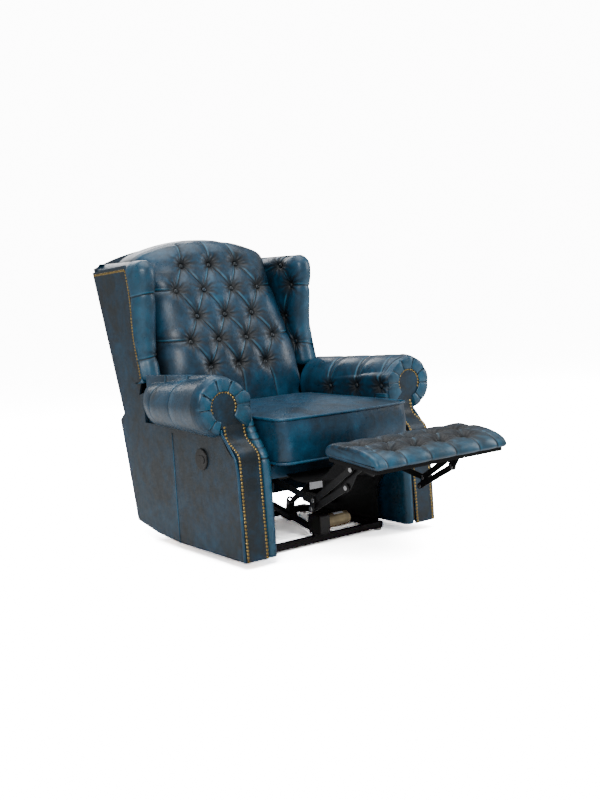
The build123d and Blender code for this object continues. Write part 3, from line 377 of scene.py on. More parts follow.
def piece(name, grids, material, attributes=None):
    """One mesh object from grids of closed loops with capped ends.
    Attributes are lists with one array for each grid."""
    points, faces, offset = [], [], 0
    for grid in grids:
        rows, columns = grid.shape[:2]
        number = np.arange(rows * columns).reshape(rows, columns) + offset
        right = np.roll(number, -1, axis=1)
        quads = np.stack([number[:-1], right[:-1], right[1:], number[1:]], axis=-1).reshape(-1, 4)
        ends = [number[0][::-1].tolist(), number[-1].tolist()]
        faces += quads.tolist() + ends
        points.append(grid.reshape(-1, 3))
        offset += rows * columns
    co = np.concatenate(points)
    co = np.stack([co[:, 0], co[:, 1] + FACE, co[:, 2]], axis=1) / 1000
    mesh = bpy.data.meshes.new(name)
    mesh.from_pydata(co.tolist(), [], faces)
    mesh.validate()
    for label, values in (attributes or {}).items():
        layer = mesh.attributes.new(label, "FLOAT", "POINT")
        flat = np.concatenate([v.ravel() for v in values])
        layer.data.foreach_set("value", flat.astype(np.float32))
    mesh.polygons.foreach_set("use_smooth", [True] * len(mesh.polygons))
    mesh.materials.append(MATERIALS[material])
    made = bpy.data.objects.new(name, mesh)
    bpy.context.scene.collection.objects.link(made)
    fix = bmesh.new()
    fix.from_mesh(mesh)
    bmesh.ops.recalc_face_normals(fix, faces=fix.faces)
    fix.to_mesh(mesh)
    fix.free()
    return made


def mirrored(grid):
    """The same grid on the other side."""
    return grid * np.array([-1, 1, 1])


def tube(line, radius, around=10):
    """A grid for a round tube along a line."""
    line = np.array(line, float)
    heading = np.gradient(line, axis=0)
    heading /= np.linalg.norm(heading, axis=1, keepdims=True)
    up = np.array([0.31, 0.17, 0.93])
    first = np.cross(heading, up)
    first /= np.linalg.norm(first, axis=1, keepdims=True)
    second = np.cross(heading, first)
    angle = np.linspace(0, 2 * np.pi, around, endpoint=False)[None, :, None]
    ring = np.cos(angle) * first[:, None] + np.sin(angle) * second[:, None]
    return line[:, None] + radius * ring


def ring_tube(line, radius, around=10):
    """A tube whose line ends where it starts."""
    line = np.array(line, float)
    return tube(np.concatenate([line, line[:1]]), radius, around)


def clusters(node, reach=16.0):
    """Centres of a node's separate small solids, y from the arms' faces."""
    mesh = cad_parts[node].data
    co = np.empty(len(mesh.vertices) * 3)
    mesh.vertices.foreach_get("co", co)
    co = co.reshape(-1, 3) * 1000 - np.array([0, FACE, 0])
    centres = []
    while len(co):
        near = np.linalg.norm(co - co[0], axis=1) < 2 * reach
        centres.append((co[near].min(axis=0) + co[near].max(axis=0)) / 2)
        co = co[~near]
    return sorted(centres, key=lambda c: (-round(c[2]), c[0]))


def find_pits(grid, u, v, buttons, axis):
    """Where each button sits on a grid and how deep it is below the full surface."""
    normal = outward(grid)
    pits = []
    for centre in buttons:
        gap = grid - centre
        height = gap @ axis
        aside = np.sum(gap**2, axis=2) - height**2 + np.where((normal @ axis) > 0.2, 0, 1e6)
        row, column = np.unravel_index(np.argmin(aside), aside.shape)
        low = float(gap[row, column] @ normal[row, column]) + 1.0
        pits.append((u[row, column], v[row, column], low))
    return pits


def folds(points, strengths):
    """Pleats that run on from one point to the next."""
    runs = zip(points, points[1:], strengths, strengths[1:])
    return [(start, end, strong, weak) for start, end, strong, weak in runs]


def tuft(u, v, pits, pleats, reach=50, fold=12, pit_reach=44, wrinkle=1.6, oval=1, dark=1.65):
    """Depth of a tufted surface below its full height, with painted shade in its folds and pits and
    a painted highlight on the lips of its folds.
    A pit is (u, v, depth). A pleat is (start, end, strength at start, strength at end).
    Oval under 1 widens the pits along u, and dark widens the painted shade in them."""
    depth = np.zeros_like(u)
    painted_shade = np.zeros_like(u)
    edge = np.zeros_like(u)
    for start, end, strong, weak in pleats:
        if (end[0], end[1]) < (start[0], start[1]):
            start, end, strong, weak = end, start, weak, strong
        du, dv = end[0] - start[0], end[1] - start[1]
        size = math.hypot(du, dv)
        share = np.clip(((u - start[0]) * du + (v - start[1]) * dv) / size**2, 0, 1)
        aside_u = u - start[0] - share * du
        aside_v = v - start[1] - share * dv
        away = np.hypot(aside_u, aside_v)
        side = (du * aside_v - dv * aside_u) / size
        strength = strong + (weak - strong) * share
        near = np.clip(away / reach, 0, 1)
        depth = np.maximum(depth, fold * strength * (1 - np.sqrt(2 * near - near**2)))
        # painted shade along each fold's line
        painted_shade = np.maximum(painted_shade, np.minimum(strength * 1.3, 1) * np.exp(-((away / 2.6) ** 2)))
        # painted highlight on the lip beside each fold; below, the same mask also lifts the lip
        lip = strength * np.exp(-(((side - 5.6) / 2.6) ** 2)) * (away < 14)
        edge = np.maximum(edge, lip)
    depth -= 1.5 * edge * ease(depth / 3)
    for number, (pit_u, pit_v, low) in enumerate(pits):
        du, dv = (u - pit_u) * oval, v - pit_v
        away = np.hypot(du, dv)
        angle = np.arctan2(dv, du)
        near = np.clip((away - 9) / pit_reach, 0, 1)
        pull = 1 - np.sqrt(2 * near - near**2)
        depth = depth + (low - depth) * pull
        twist = angle + 0.05 * np.sin(away / 5 + number)
        spokes = 0.5 + 0.32 * np.cos(13 * twist + 1.7 * number)
        spokes = spokes + 0.18 * np.cos(8 * twist + 0.9 * number)
        band = np.exp(-(((away - 23) / 12) ** 2))
        depth = depth + wrinkle * 2 * band * (spokes - 0.4)
        # painted shade in and around each pit, reaching further along the wrinkles' spokes
        fade = np.maximum(away - 12, 0) / (dark * (9 + 22 * spokes))
        painted_shade = np.maximum(painted_shade, np.exp(-(fade**2)) * 0.98)
        edge = edge * (1 - 0.8 * np.exp(-((away / 16) ** 2)))
    return depth, painted_shade, edge


# lift in mm below the rim or as a share of the height above it, share of the radius, painted shade
DOME = [
    (-2.6, 0.80, 1),
    (-1.6, 0.96, 1),
    (-0.4, 1.0, 0.9),
    (0.30, 0.97, 0.7),
    (0.62, 0.82, 0.35),
    (0.84, 0.6, 0.1),
    (0.96, 0.34, 0),
    (1.0, 0.08, 0),
]
BUTTON = (9.2, 5.0)  # radius and height
REST_BUTTON = (9.0, 4.4)


def domes(name, centres, axes, size):
    """Leather-covered buttons: low domes with a gathered rim."""
    radius, height = size
    grids, painted_shades = [], []
    for centre, axis in zip(centres, axes):
        axis = np.array(axis, float) / np.linalg.norm(axis)
        first = np.cross(axis, (0.3, 0.9, 0.2))
        first /= np.linalg.norm(first)
        second = np.cross(axis, first)
        angle = np.linspace(0, 2 * np.pi, 24, endpoint=False)
        rows = []
        for lift, share, _ in DOME:
            up = lift if lift < 0 else lift * height
            r = radius * share * (1 + 0.025 * np.cos(8 * angle) * (share > 0.7))
            rim = np.outer(np.cos(angle) * r, first)
            rows.append(centre + axis * up + rim + np.outer(np.sin(angle) * r, second))
        grids.append(np.array(rows))
        # painted shade, darkest low on the button where it sits in its pit; no painted highlight
        painted_shades.append(np.repeat(np.array([[painted_shade for _, _, painted_shade in DOME]]).T, 24, axis=1))
    painted_highlights = [0 * s for s in painted_shades]
    return piece(name, grids, "covered_buttons", {"painted_shade": painted_shades, "edge": painted_highlights})


def finished(made, body, nodes):
    """Body and replaced nodes of a piece."""
    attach(made, body)
    if nodes:
        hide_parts(*nodes)
    return made


# ---- back pad ------------------------------------------------------------------------------------
BACK_FOOT = (751.0, 345.0)
REAR_SLOPE = (957.0 - 751.0) / (949.0 - 345.0)
PAD_LOW_HALF = 261.6
PAD_HALF = 291.6
CREST = 1062.0
CREST_FALL = 62.0
CREST_START = 940.0  # below this the pad's sides are upright
CORNER_START, CORNER_DROP = 240.0, 26.0  # rounding of the crest's ends
FLAT_HALF = 178.0  # the front falls back towards the wings outside this
ON_WING = 240.0  # buttons further out are on the wings
OFF_FRONT = 5000.0  # v of the rear surface, far from every button
BUTTON_ROWS = (963, 872, 778, 688, 592)
BUTTON_LEAN = math.radians(24)


def rear_line(z, inset=0.0):
    """y of the back's rear line at a height."""
    return BACK_FOOT[0] + (z - BACK_FOOT[1]) * REAR_SLOPE - inset


def crest_height(x):
    """Height of the arched crest over an x."""
    radius = (PAD_HALF**2 + CREST_FALL**2) / (2 * CREST_FALL)
    return CREST - (radius - np.sqrt(radius**2 - x**2))


PAD_FRONT = [(560, 345), (559, 420), (560, 500), (567, 592), (598, 690), (642, 780)]
PAD_FRONT += [(682, 872), (732, 965), (757, 1018), (780, 1046), (815, 1060)]
PAD_TOP = [(815, 1060), (860, 1063), (905, 1060), (930, 1050), (936, 1030)]
PAD_REAR = [(936, 1030), (rear_line(992, 12.4), 992), (rear_line(985, 46.4), 985)]
PAD_REAR += [(rear_line(470, 46.4), 470), (640, 420), (588, 400), (584, 345), (560, 345)]

front_line = smooth_line(PAD_FRONT, 330)
top_line = smooth_line(PAD_TOP, 50)
rear_part = spread(PAD_REAR, 120)
profile = np.concatenate([front_line, top_line[1:], rear_part[1:-1]])
stations = np.linspace(-1, 1, 241)
fall_z = [345, 455, 490, 530, 572, 690, 796, 887, 951, 1003, 1063]
fall_y = [4, 10, 54, 64, 84, 108, 124, 148, 132, 86, 44]

half = PAD_LOW_HALF + (PAD_HALF - PAD_LOW_HALF) * ease((profile[:, 1] - 462) / 40)
pad_x = stations[:, None] * half[None, :]
pad_z = np.broadcast_to(profile[:, 1], pad_x.shape).copy()
above = np.clip(pad_z - CREST_START, 0, None)
pad_z -= above * (CREST - crest_height(pad_x)) / (CREST - CREST_START)
in_front = np.zeros(len(profile))
in_front[: len(front_line)] = 1
fading = len(top_line) - 1
in_front[len(front_line) : len(front_line) + fading] = np.linspace(1, 0, fading)
far = (np.abs(stations)[:, None] * half - FLAT_HALF) / (half - FLAT_HALF)
pad_y = profile[:, 0] + arc_drop(far) * np.interp(profile[:, 1], fall_z, fall_y) * in_front
top_share = ease((pad_z - 930) / 60)
pad_z -= CORNER_DROP * arc_drop((np.abs(pad_x) - CORNER_START) / 52) * top_share
pad_grid = np.stack([pad_x, pad_y, pad_z], axis=-1)

along = np.concatenate([lengths(front_line), lengths(front_line)[-1] + lengths(top_line)[1:]])
along = np.concatenate([along, np.full(len(rear_part) - 2, OFF_FRONT)])
pad_u = pad_x + np.sign(pad_x) * arc_drop(far) * 60
pad_v = np.broadcast_to(along, pad_x.shape)

button_axis = np.array([0, -math.cos(BUTTON_LEAN), math.sin(BUTTON_LEAN)])
all_buttons = clusters("back_buttons")
back_places = [c for c in all_buttons if abs(c[0]) < ON_WING]
wing_places = [c for c in all_buttons if abs(c[0]) > ON_WING]
pits = find_pits(pad_grid, pad_u, pad_v, back_places, button_axis)
rows = []
for z in BUTTON_ROWS:
    level = np.interp(z, front_line[:, 1], lengths(front_line))
    rows.append(sorted((p[0], p[1]) for p in pits if abs(p[1] - level) < 35))
pleats = []
for upper, lower in zip(rows, rows[1:]):
    for a in upper:
        for b in lower:
            if abs(a[0] - b[0]) < 90:
                pleats.append((a, b, 1, 1))
for place, (u, v) in enumerate(rows[0]):
    lean = (-14, 4, 22)[place]
    pleats += folds([(u, v), (u - lean * 0.6, v + 70), (u - lean, v + 165)], [1, 0.85, 0.1])
for row in (1, 3):
    for u, v in (rows[row][0], rows[row][-1]):
        pleats.append(((u, v), (u + math.copysign(190, u), v - 4), 1, 0.8))
for u, v in rows[4]:
    pleats += folds([(u, v), (u * 1.12 + 4, v - 70), (u * 1.2 + 8, v - 170)], [0.9, 0.7, 0.2])
depth, painted_shade, edge = tuft(pad_u, pad_v, pits, pleats)
live = in_front * ease((pad_v - 30) / 90)
depth *= live
# painted shade in a band along the pad's sides, where it meets the wings
seam = np.exp(-(((np.abs(pad_x) - half) / 14) ** 2))
painted_shade = np.maximum(painted_shade * (live > 0), 0.75 * seam * in_front)
pad_grid = pad_grid - outward(pad_grid) * depth[..., None]
fades = {"painted_shade": [painted_shade], "edge": [edge * live]}
back_pad = piece("back_pad_leather", [pad_grid], "leather", fades)
finished(back_pad, "back", ["back_pad"])


# ---- wings ---------------------------------------------------------------------------------------
WING_FRONT = [(604, 560), (612, 600), (626, 700), (616, 800), (602, 890), (598, 925), (604, 975)]
NAIL_LINE = [(633, 555), (634, 572), (649, 636), (670, 731), (675, 850), (684, 901)]
NAIL_LINE += [(698, 955), (706, 985)]
WING_OUT = 371.6
WING_IN = 296.5
WING_LOW = 558.0
WING_HIGH = 986.0
WING_ENDS = (24.0, 41.0)  # rounding at the wing's bottom and top
front_edge = smooth_line(WING_FRONT, 200)
nail_edge = smooth_line(NAIL_LINE, 200)


def wing_section(z):
    """One wing's closed section (|x|, y) at a height, from the rear outer corner forward."""
    front = np.interp(z, front_edge[:, 1], front_edge[:, 0])
    nail = np.interp(z, nail_edge[:, 1], nail_edge[:, 0])
    rear = rear_line(z, 38 - 25 * ease((z - 900) / 40))
    outer = spread([(WING_OUT, rear), (WING_OUT, nail + 5)], 30)
    roll = [(WING_OUT, nail + 5), (381, nail - 1), (387, nail - 14)]
    roll += [(385, (nail + front) / 2 + 4), (372, front + 13), (354, front + 2), (334, front)]
    roll += [(314, front + 9), (301, front + 32), (WING_IN, front + 62)]
    inner = spread([(WING_IN, front + 62), (WING_IN, rear)], 84)
    back = spread([(WING_IN, rear), (WING_OUT, rear)], 12)
    return np.concatenate([outer[:-1], smooth_line(roll, 74)[:-1], inner, back[1:-1]])



quarter = np.linspace(0, math.pi / 2, 16)
low_round, high_round = WING_ENDS
plain = np.linspace(WING_LOW + low_round, WING_HIGH - high_round, 128)[1:-1]
heights = np.concatenate([
    WING_LOW + low_round * (1 - np.cos(quarter)),
    plain,
    WING_HIGH - high_round * (1 - np.sin(quarter)),
])
insets = np.concatenate([
    low_round * (1 - np.sin(quarter)),
    np.zeros(len(plain)),
    high_round * (1 - np.cos(quarter)),
])
wing_rows = []
for z, inset in zip(heights, insets):
    section = wing_section(z)
    forward = np.roll(section, -1, axis=0) - np.roll(section, 1, axis=0)
    across = np.stack([forward[:, 1], -forward[:, 0]], axis=1)
    across /= np.linalg.norm(across, axis=1, keepdims=True)
    if np.sum(across * (section - section.mean(axis=0))) < 0:
        across = -across
    section = section - across * inset * np.array([1.0, 0.9])
    wing_rows.append(np.column_stack([section, np.full(len(section), z)]))
wing_grid = np.array(wing_rows)
middle_row = wing_grid[len(heights) // 2]
wing_u = lengths(middle_row)
wing_u = np.broadcast_to(wing_u - wing_u[np.argmin(middle_row[:, 1])], wing_grid.shape[:2])
wing_v = wing_grid[..., 2]
for side, label in ((-1, "right"), (1, "left")):
    grid = wing_grid * np.array([side, 1, 1])
    places = [c for c in wing_places if c[0] * side > 0]
    pits = find_pits(grid, wing_u, wing_v, places, np.array([-side, 0, 0]))
    spots = [(p[0], p[1]) for p in pits]
    pleats = [(a, b, 1, 1) for a, b in zip(spots, spots[1:])]
    u, v = spots[0]
    pleats += [((u, v), (u - 16, 986), 1, 0.9), ((u, v), (u + 70, v - 30), 0.8, 0.3)]
    for (u, v), drop in ((spots[1], 12), (spots[3], 14)):
        pleats += folds([(u, v), (-6, v - drop * 0.4), (-92, v - drop * 1.3)], [1, 0.9, 0.5])
    u, v = spots[2]
    pleats += [((u, v), (u + 90, v - 20), 0.7, 0.3)]
    u, v = spots[3]
    pleats += [((u, v), (u + 12, 575), 0.8, 0.4)]
    depth, painted_shade, edge = tuft(wing_u, wing_v, pits, pleats, reach=46, fold=9, pit_reach=34)
    live = ease((wing_u + 94) / 22) * ease((330 - wing_u) / 60)
    depth = depth * live
    # painted highlight on the wing's front roll
    wing_front_highlight = np.exp(-(((wing_u + 30) / 46) ** 2))
    edge = np.maximum(edge * live, 0.30 * wing_front_highlight)
    # painted shade of the folds and pits, and a narrow painted shade line along the outer side
    # where the tufting ends
    wing_painted_shade = np.maximum(painted_shade * live, 0.6 * np.exp(-(((wing_u + 96) / 6) ** 2)))
    grid = grid - outward(grid) * depth[..., None]
    wing = piece(f"wing_leather_{label}", [grid], "leather", {"painted_shade": [wing_painted_shade], "edge": [edge]})
    finished(wing, "back", [f"wing_pad_{label}"])

axes = [button_axis if abs(c[0]) < ON_WING else (-np.sign(c[0]), 0, 0) for c in all_buttons]
lifted = [c + np.array(a) * 1.5 for c, a in zip(all_buttons, axes)]
buttons = domes("back_buttons_covered", lifted, axes, BUTTON)
finished(buttons, "back", ["back_buttons"])


# ---- arm rolls -----------------------------------------------------------------------------------
ROLL_X = (388.0, 374.0)
ROLL_Z = (508.0, 490.0)
ROLL_R = (100.0, 71.0)
ROLL_START = 105.0
ROLL_END = 573.0
CHEEK = (276.0, 282.0)
CHEEK_HIGH = (556.0, 526.0)
ROLL_LOW = 424.6
HEAD_R = 49.0

angles = np.radians(np.linspace(-112, 248, 260, endpoint=False))
cos_a, sin_a = np.cos(angles), np.sin(angles)


def roll_reach(share):
    """Distance from the roll's centre line to its surface at each angle.
    Share is 0 at the roll's front and 1 at its rear end."""
    def at(pair):
        return pair[0] + (pair[1] - pair[0]) * share

    centre_x, centre_z, radius = at(ROLL_X), at(ROLL_Z), at(ROLL_R)
    inner = np.where(cos_a < -1e-3, (centre_x - at(CHEEK)) / np.maximum(-cos_a, 1e-3), 0)
    high = np.where(sin_a > 1e-3, (at(CHEEK_HIGH) - centre_z) / np.maximum(sin_a, 1e-3), 1e3)
    corner = 24.0
    cheek = np.where(cos_a < 0, -corner * np.logaddexp(-inner / corner, -high / corner), 0)
    cheek = np.minimum(cheek, 170)
    soft = 10.0
    blend = soft * np.log(np.exp(radius / soft) + np.exp(cheek / soft))
    blend = np.where(np.abs(radius - cheek) > 60, np.maximum(radius, cheek), blend - soft * 0.25)
    reach = np.where(cos_a < 0.1, blend, radius)
    low = ROLL_LOW - 14 * ease((centre_x + reach * cos_a - 398) / 16)
    floor = np.where(sin_a < -1e-3, (low - centre_z) / np.minimum(sin_a, -1e-3), 1e3)
    return centre_x, centre_z, np.minimum(reach, floor)


# rise from the facing to the roll: (share of the way out, y), on the roll and at the facing's neck
FRONT_RISE = [(0.0, 106), (0.06, 98), (0.24, 91), (0.5, 90), (0.76, 97), (0.93, 112), (1.0, 134)]
NECK_RISE = [(0.0, 108), (0.2, 107), (0.5, 107), (0.76, 109), (0.93, 118), (1.0, 134)]
RISE_ROWS = 44
ROLL_JOIN = 137.0  # y where the rise ends and the plain roll starts
front_shape = smooth_line(FRONT_RISE, RISE_ROWS)
neck_shape = smooth_line(NECK_RISE, RISE_ROWS)
degrees = np.degrees(angles)
neck = ease(1 - (np.abs(degrees + 104) - 22) / 10)
neck = np.maximum(neck, ease(1 - (np.abs(degrees - 246) - 16) / 10))
shape = front_shape[:, None] * (1 - neck[None, :, None]) + neck_shape[:, None] * neck[None, :, None]
roll_rows = []
for row in range(len(front_shape)):
    share_out, y = shape[row, :, 0], shape[row, :, 1]
    centre_x, centre_z, reach = roll_reach(0.0)
    reach = HEAD_R + share_out * (reach - HEAD_R)
    roll_rows.append(np.column_stack([centre_x + reach * cos_a, y, centre_z + reach * sin_a]))
outer_side = ease(1 - np.abs(degrees + 14) / 140)
tail = 16 + 130 * outer_side
shrink = 10 + 66 * outer_side
for y in np.linspace(ROLL_JOIN, ROLL_END + 14, 150):
    share = (y - ROLL_START) / (ROLL_END - ROLL_START)
    centre_x, centre_z, reach = roll_reach(min(share, 1.0))
    end = arc_drop((y - (ROLL_END + 15 - tail)) / tail)
    reach = np.maximum(reach - shrink * end, 14 / np.maximum(cos_a, 0.14))
    ring_y = np.full(len(angles), y)
    roll_rows.append(np.column_stack([centre_x + reach * cos_a, ring_y, centre_z + reach * sin_a]))
roll_grid = np.array(roll_rows)
roll_v = lengths(roll_grid[90])
roll_v = roll_v - np.interp(90, degrees, roll_v)
top_column = int(np.argmin(np.abs(degrees - 90)))
roll_u = lengths(roll_grid[:, top_column])
roll_u = roll_u - roll_u[RISE_ROWS] + ROLL_JOIN
roll_u = np.broadcast_to(roll_u[:, None], roll_grid.shape[:2])
roll_v = np.broadcast_to(roll_v[None, :], roll_grid.shape[:2])
head_edge = float(roll_u[0, 0])


def at_angle(degree):
    """v on the roll at an angle: 0 is outward, 90 up, 180 towards the seat."""
    return float(np.interp(degree, degrees, roll_v[0]))


# the gathers round the facing's head: (angle, strength)
GATHERS = ((-52, 0.9), (-6, 0.8), (30, 1), (72, 1), (112, 1), (146, 0.7), (176, 0.6))
arm_places = clusters("arm_buttons")
for side, label in ((-1, "right"), (1, "left")):
    grid = roll_grid * np.array([side, 1, 1])
    places = [c for c in arm_places if c[0] * side > 0]
    pits = find_pits(grid, roll_u, roll_v, places, np.array([-side, 0, 0]))
    spots = sorted((p[0], p[1]) for p in pits)
    pleats = []
    for spot in spots:
        for lean in (-1, 1):
            knee = (spot[0] + lean * 13, at_angle(128))
            top = (spot[0] + lean * 21, at_angle(96))
            pleats += folds([spot, knee, top], [1, 0.9, 0.55])
        pleats.append((spot, (spot[0] + 3, at_angle(236)), 0.9, 0.4))
    pleats.append((spots[0], (spots[0][0] - 62, spots[0][1] + 2), 0.9, 0.4))
    for spot, lean in ((spots[1], 22), (spots[2], 20)):
        bend = (spot[0] + 22 + lean, at_angle(40))
        ends = (spot[0] + 21, at_angle(96)), (bend[0] - 6, at_angle(-40))
        pleats += folds([ends[0], bend, ends[1]], [0.5, 0.5, 0.2])
    depth, painted_shade, edge = tuft(roll_u, roll_v, pits, pleats, reach=44, fold=10, pit_reach=32)
    radial = []
    for degree, strength in GATHERS:
        start = (head_edge - 5, at_angle(degree))
        radial.append((start, (head_edge + 62, at_angle(degree) + 3), strength, strength * 0.55))
    # painted shade and painted highlight of the gathers round the facing's head
    fold_depth, fold_painted_shade, fold_painted_highlight = tuft(roll_u, roll_v, [], radial, reach=26, fold=9)
    fade = ease((head_edge + 96 - roll_u) / 40)
    depth = np.maximum(depth, fold_depth * fade)
    painted_shade = np.maximum(painted_shade, fold_painted_shade * fade)
    edge = np.maximum(edge, fold_painted_highlight * fade)
    # painted shade in a ring where the leather gathers round the facing's head, and a painted
    # highlight on the roll just behind it
    ring = np.exp(-(((roll_u - head_edge) / 9) ** 2))
    front_light = 0.34 * np.exp(-(((roll_u - head_edge - 30) / 26) ** 2))
    depth = depth * ease((roll_u - head_edge) / 10)
    grid = grid - outward(grid) * depth[..., None]
    painted_shade = np.maximum(painted_shade, 0.8 * ring)
    fades = {"painted_shade": [painted_shade], "edge": [np.maximum(edge, front_light)]}
    arm = piece(f"arm_roll_leather_{label}", [grid], "leather", fades)
    finished(arm, "base", [f"arm_roll_{label}"])
arm_axes = [(-np.sign(c[0]), 0, 0) for c in arm_places]
lifted = [c + np.array(a) * 1.5 for c, a in zip(arm_places, arm_axes)]
buttons = domes("arm_buttons_covered", lifted, arm_axes, BUTTON)
finished(buttons, "base", ["arm_buttons"])


# ---- inner sides of the arms ---------------------------------------------------------------------
INNER_FRONT = [(3, 27), (5, 120), (9, 240), (14, 330), (20, 348), (44, 382), (70, 412)]
INNER_FRONT += [(84, 436), (90, 462), (95, 486)]
inner_edge = smooth_line(INNER_FRONT, 300)
INNER_LOW = 27.4
BAND_IN, BAND_OUT = 272.6, 312.0
band_rows = []
band_heights = np.linspace(INNER_LOW, 478, 190)
for z in band_heights:
    front = np.interp(z, inner_edge[:, 1], inner_edge[:, 0])
    fade = ease((z - 425) / 50)
    rear = 584 - (584 - front - 60) * ease((z - 424) / 3)
    thin = 6 * fade
    face = BAND_IN + thin
    nose = [(face, front + 46), (272.8 + thin, front + 26), (278 + thin, front + 8)]
    nose += [(292, front - 1 + thin), (306 - thin, front + 6), (BAND_OUT, front + 22)]
    nose += [(BAND_OUT, front + 46)]
    outer = spread([(BAND_OUT, front + 47), (BAND_OUT, rear)], 20)
    back = spread([(BAND_OUT - 1, rear), (face, rear)], 8)
    inner = spread([(face, rear - 4), (face, front + 50)], 40)
    line = np.concatenate([smooth_line(nose, 60), outer, back, inner])
    foot = 6 * arc_drop(1 - (z - INNER_LOW) / 8)
    centre = line.mean(axis=0)
    line = line + (centre - line) * np.array([foot / 90, foot / 300])
    band_rows.append(np.column_stack([line, np.full(len(line), z)]))
band_grid = np.array(band_rows)
around = lengths(band_grid[60])
around = np.broadcast_to(around[None, :] - around[30], band_grid.shape[:2])
height = band_grid[..., 2]
creases = []
for z, strength in ((340, 1), (372, 0.5), (398, 0.7), (418, 0.4), (436, 0.7), (462, 0.5)):
    creases.append(((-60, z + 3), (60, z - 2), strength, strength))
depth, painted_shade, edge = tuft(around, height, [], creases, reach=16, fold=3.5)
# painted highlight down the band's front, and painted shade and painted highlight on its creases
band_front_highlight = np.exp(-((around / 30) ** 2))
near = ease(1 - (np.abs(around) - 30) / 40)
edge = np.maximum(edge * near, 0.38 * band_front_highlight)
band_grid = band_grid - outward(band_grid) * (depth * near)[..., None]
fades = {"painted_shade": [painted_shade * near] * 2, "edge": [edge] * 2}
inner = piece("arm_inner_leather", [band_grid, mirrored(band_grid)], "leather", fades)
finished(inner, "base", ["arm_inner_pads"])


# ---- seat cushion --------------------------------------------------------------------------------
CUSHION_LOW, CUSHION_HIGH = 317.0, 462.0
CUSHION_FRONT, CUSHION_REAR = -30.0, 540.0
CUSHION_HALF = 269.0
FRONT_BOW = 17.0
FRONT_BULGE = 9.0
CROWN = 24.0
CROWN_REACH = 190.0


def cushion_outline(inset, count):
    """The cushion's plan: square rear, rounded corners and a bowed front."""
    half_x, rear, front = CUSHION_HALF - inset, CUSHION_REAR - inset, CUSHION_FRONT + inset
    corner = 34.0
    points = []
    corners = ((half_x, rear, 0), (-half_x, rear, 90), (-half_x, front, 180), (half_x, front, 270))
    for centre_x, centre_y, start in corners:
        for step in range(7):
            angle = math.radians(start + step * 15)
            px = centre_x - math.copysign(corner, centre_x) + corner * math.cos(angle)
            py = centre_y + (corner if centre_y == front else -corner) + corner * math.sin(angle)
            points.append((px, py))
    points.append(points[0])
    line = spread(points, count + 1)[:-1]
    bow = FRONT_BOW * (1 - (line[:, 0] / half_x) ** 2) * ease((120 - line[:, 1]) / 120)
    return np.column_stack([line[:, 0], line[:, 1] - bow])


loop = cushion_outline(3.0, 300)
block = []
for share in np.linspace(0, 1, 22):
    bulge = FRONT_BULGE * math.sin(math.pi * share) * ease((60 - loop[:, 1]) / 60)
    z = CUSHION_LOW + 3 + (CUSHION_HIGH - CUSHION_LOW - 6) * share
    block.append(np.column_stack([loop[:, 0], loop[:, 1] - bulge, np.full(300, z)]))
for inset in (6, 12, 20, 30, 45, 65, 90, 120, 155, 195, 235):
    rise = CROWN * (1 - (1 - min(inset / CROWN_REACH, 1)) ** 2.2)
    centre = np.array([0, (CUSHION_FRONT + CUSHION_REAR) / 2])
    ring = centre + (loop - centre) * (1 - inset / CUSHION_HALF)
    block.append(np.column_stack([ring, np.full(300, CUSHION_HIGH - 3 + rise)]))
block = np.array(block)
cushion = piece("seat_cushion_leather", [block], "leather")


def apply_modifier(made, name):
    """Applies one of a piece's modifiers."""
    with bpy.context.temp_override(object=made, active_object=made, selected_objects=[made]):
        bpy.ops.object.modifier_apply(modifier=name)


def inflate(made, voxel, pressure, cap, pin, frames=20):
    """Remeshes a piece and puffs it up as cloth around pinned seams, no point further than cap."""
    bpy.context.view_layer.objects.active = made
    remesh = made.modifiers.new("remesh", "REMESH")
    remesh.mode = "VOXEL"
    remesh.voxel_size = voxel
    apply_modifier(made, "remesh")
    count = len(made.data.vertices)
    start = np.empty(count * 3)
    made.data.vertices.foreach_get("co", start)
    start = start.reshape(-1, 3)
    group = made.vertex_groups.new(name="seam")
    for number, weight in enumerate(pin(start * 1000 - np.array([0, FACE, 0]))):
        if weight > 0.01:
            group.add([number], float(weight), "REPLACE")
    cloth_sim = made.modifiers.new("cloth", "CLOTH")
    settings = cloth_sim.settings
    settings.quality = 5
    settings.vertex_group_mass = "seam"
    settings.use_pressure = True
    settings.uniform_pressure_force = pressure
    settings.effector_weights.gravity = 0
    settings.tension_stiffness = settings.compression_stiffness = 20
    settings.bending_stiffness = 4
    cloth_sim.point_cache.frame_start = 1
    cloth_sim.point_cache.frame_end = frames
    scene = bpy.context.scene
    for number in range(1, frames + 1):
        scene.frame_set(number)
    graph = bpy.context.evaluated_depsgraph_get()
    moved = np.empty(count * 3)
    made.evaluated_get(graph).data.vertices.foreach_get("co", moved)
    moved = moved.reshape(-1, 3)
    made.modifiers.remove(cloth_sim)
    scene.frame_set(1)
    shift = moved - start
    size = np.linalg.norm(shift, axis=1, keepdims=True)
    shift *= np.minimum(1, cap / np.maximum(size, 1e-9))
    made.data.vertices.foreach_set("co", (start + shift).ravel())
    made.data.update()


def cushion_pin(points):
    """Held at the two welts and flat where it rests on the deck."""
    weight = np.zeros(len(points))
    side = np.minimum(points[:, 1] - CUSHION_FRONT + 16, CUSHION_REAR - points[:, 1])
    side = np.minimum(CUSHION_HALF - np.abs(points[:, 0]), side)
    for z in (CUSHION_LOW + 3, CUSHION_HIGH - 3):
        weight = np.maximum(weight, (np.abs(points[:, 2] - z) < 7) * (side < 10))
    weight[(points[:, 2] < CUSHION_LOW + 6)] = 1
    weight[(points[:, 1] > CUSHION_REAR - 12)] = 1
    return weight


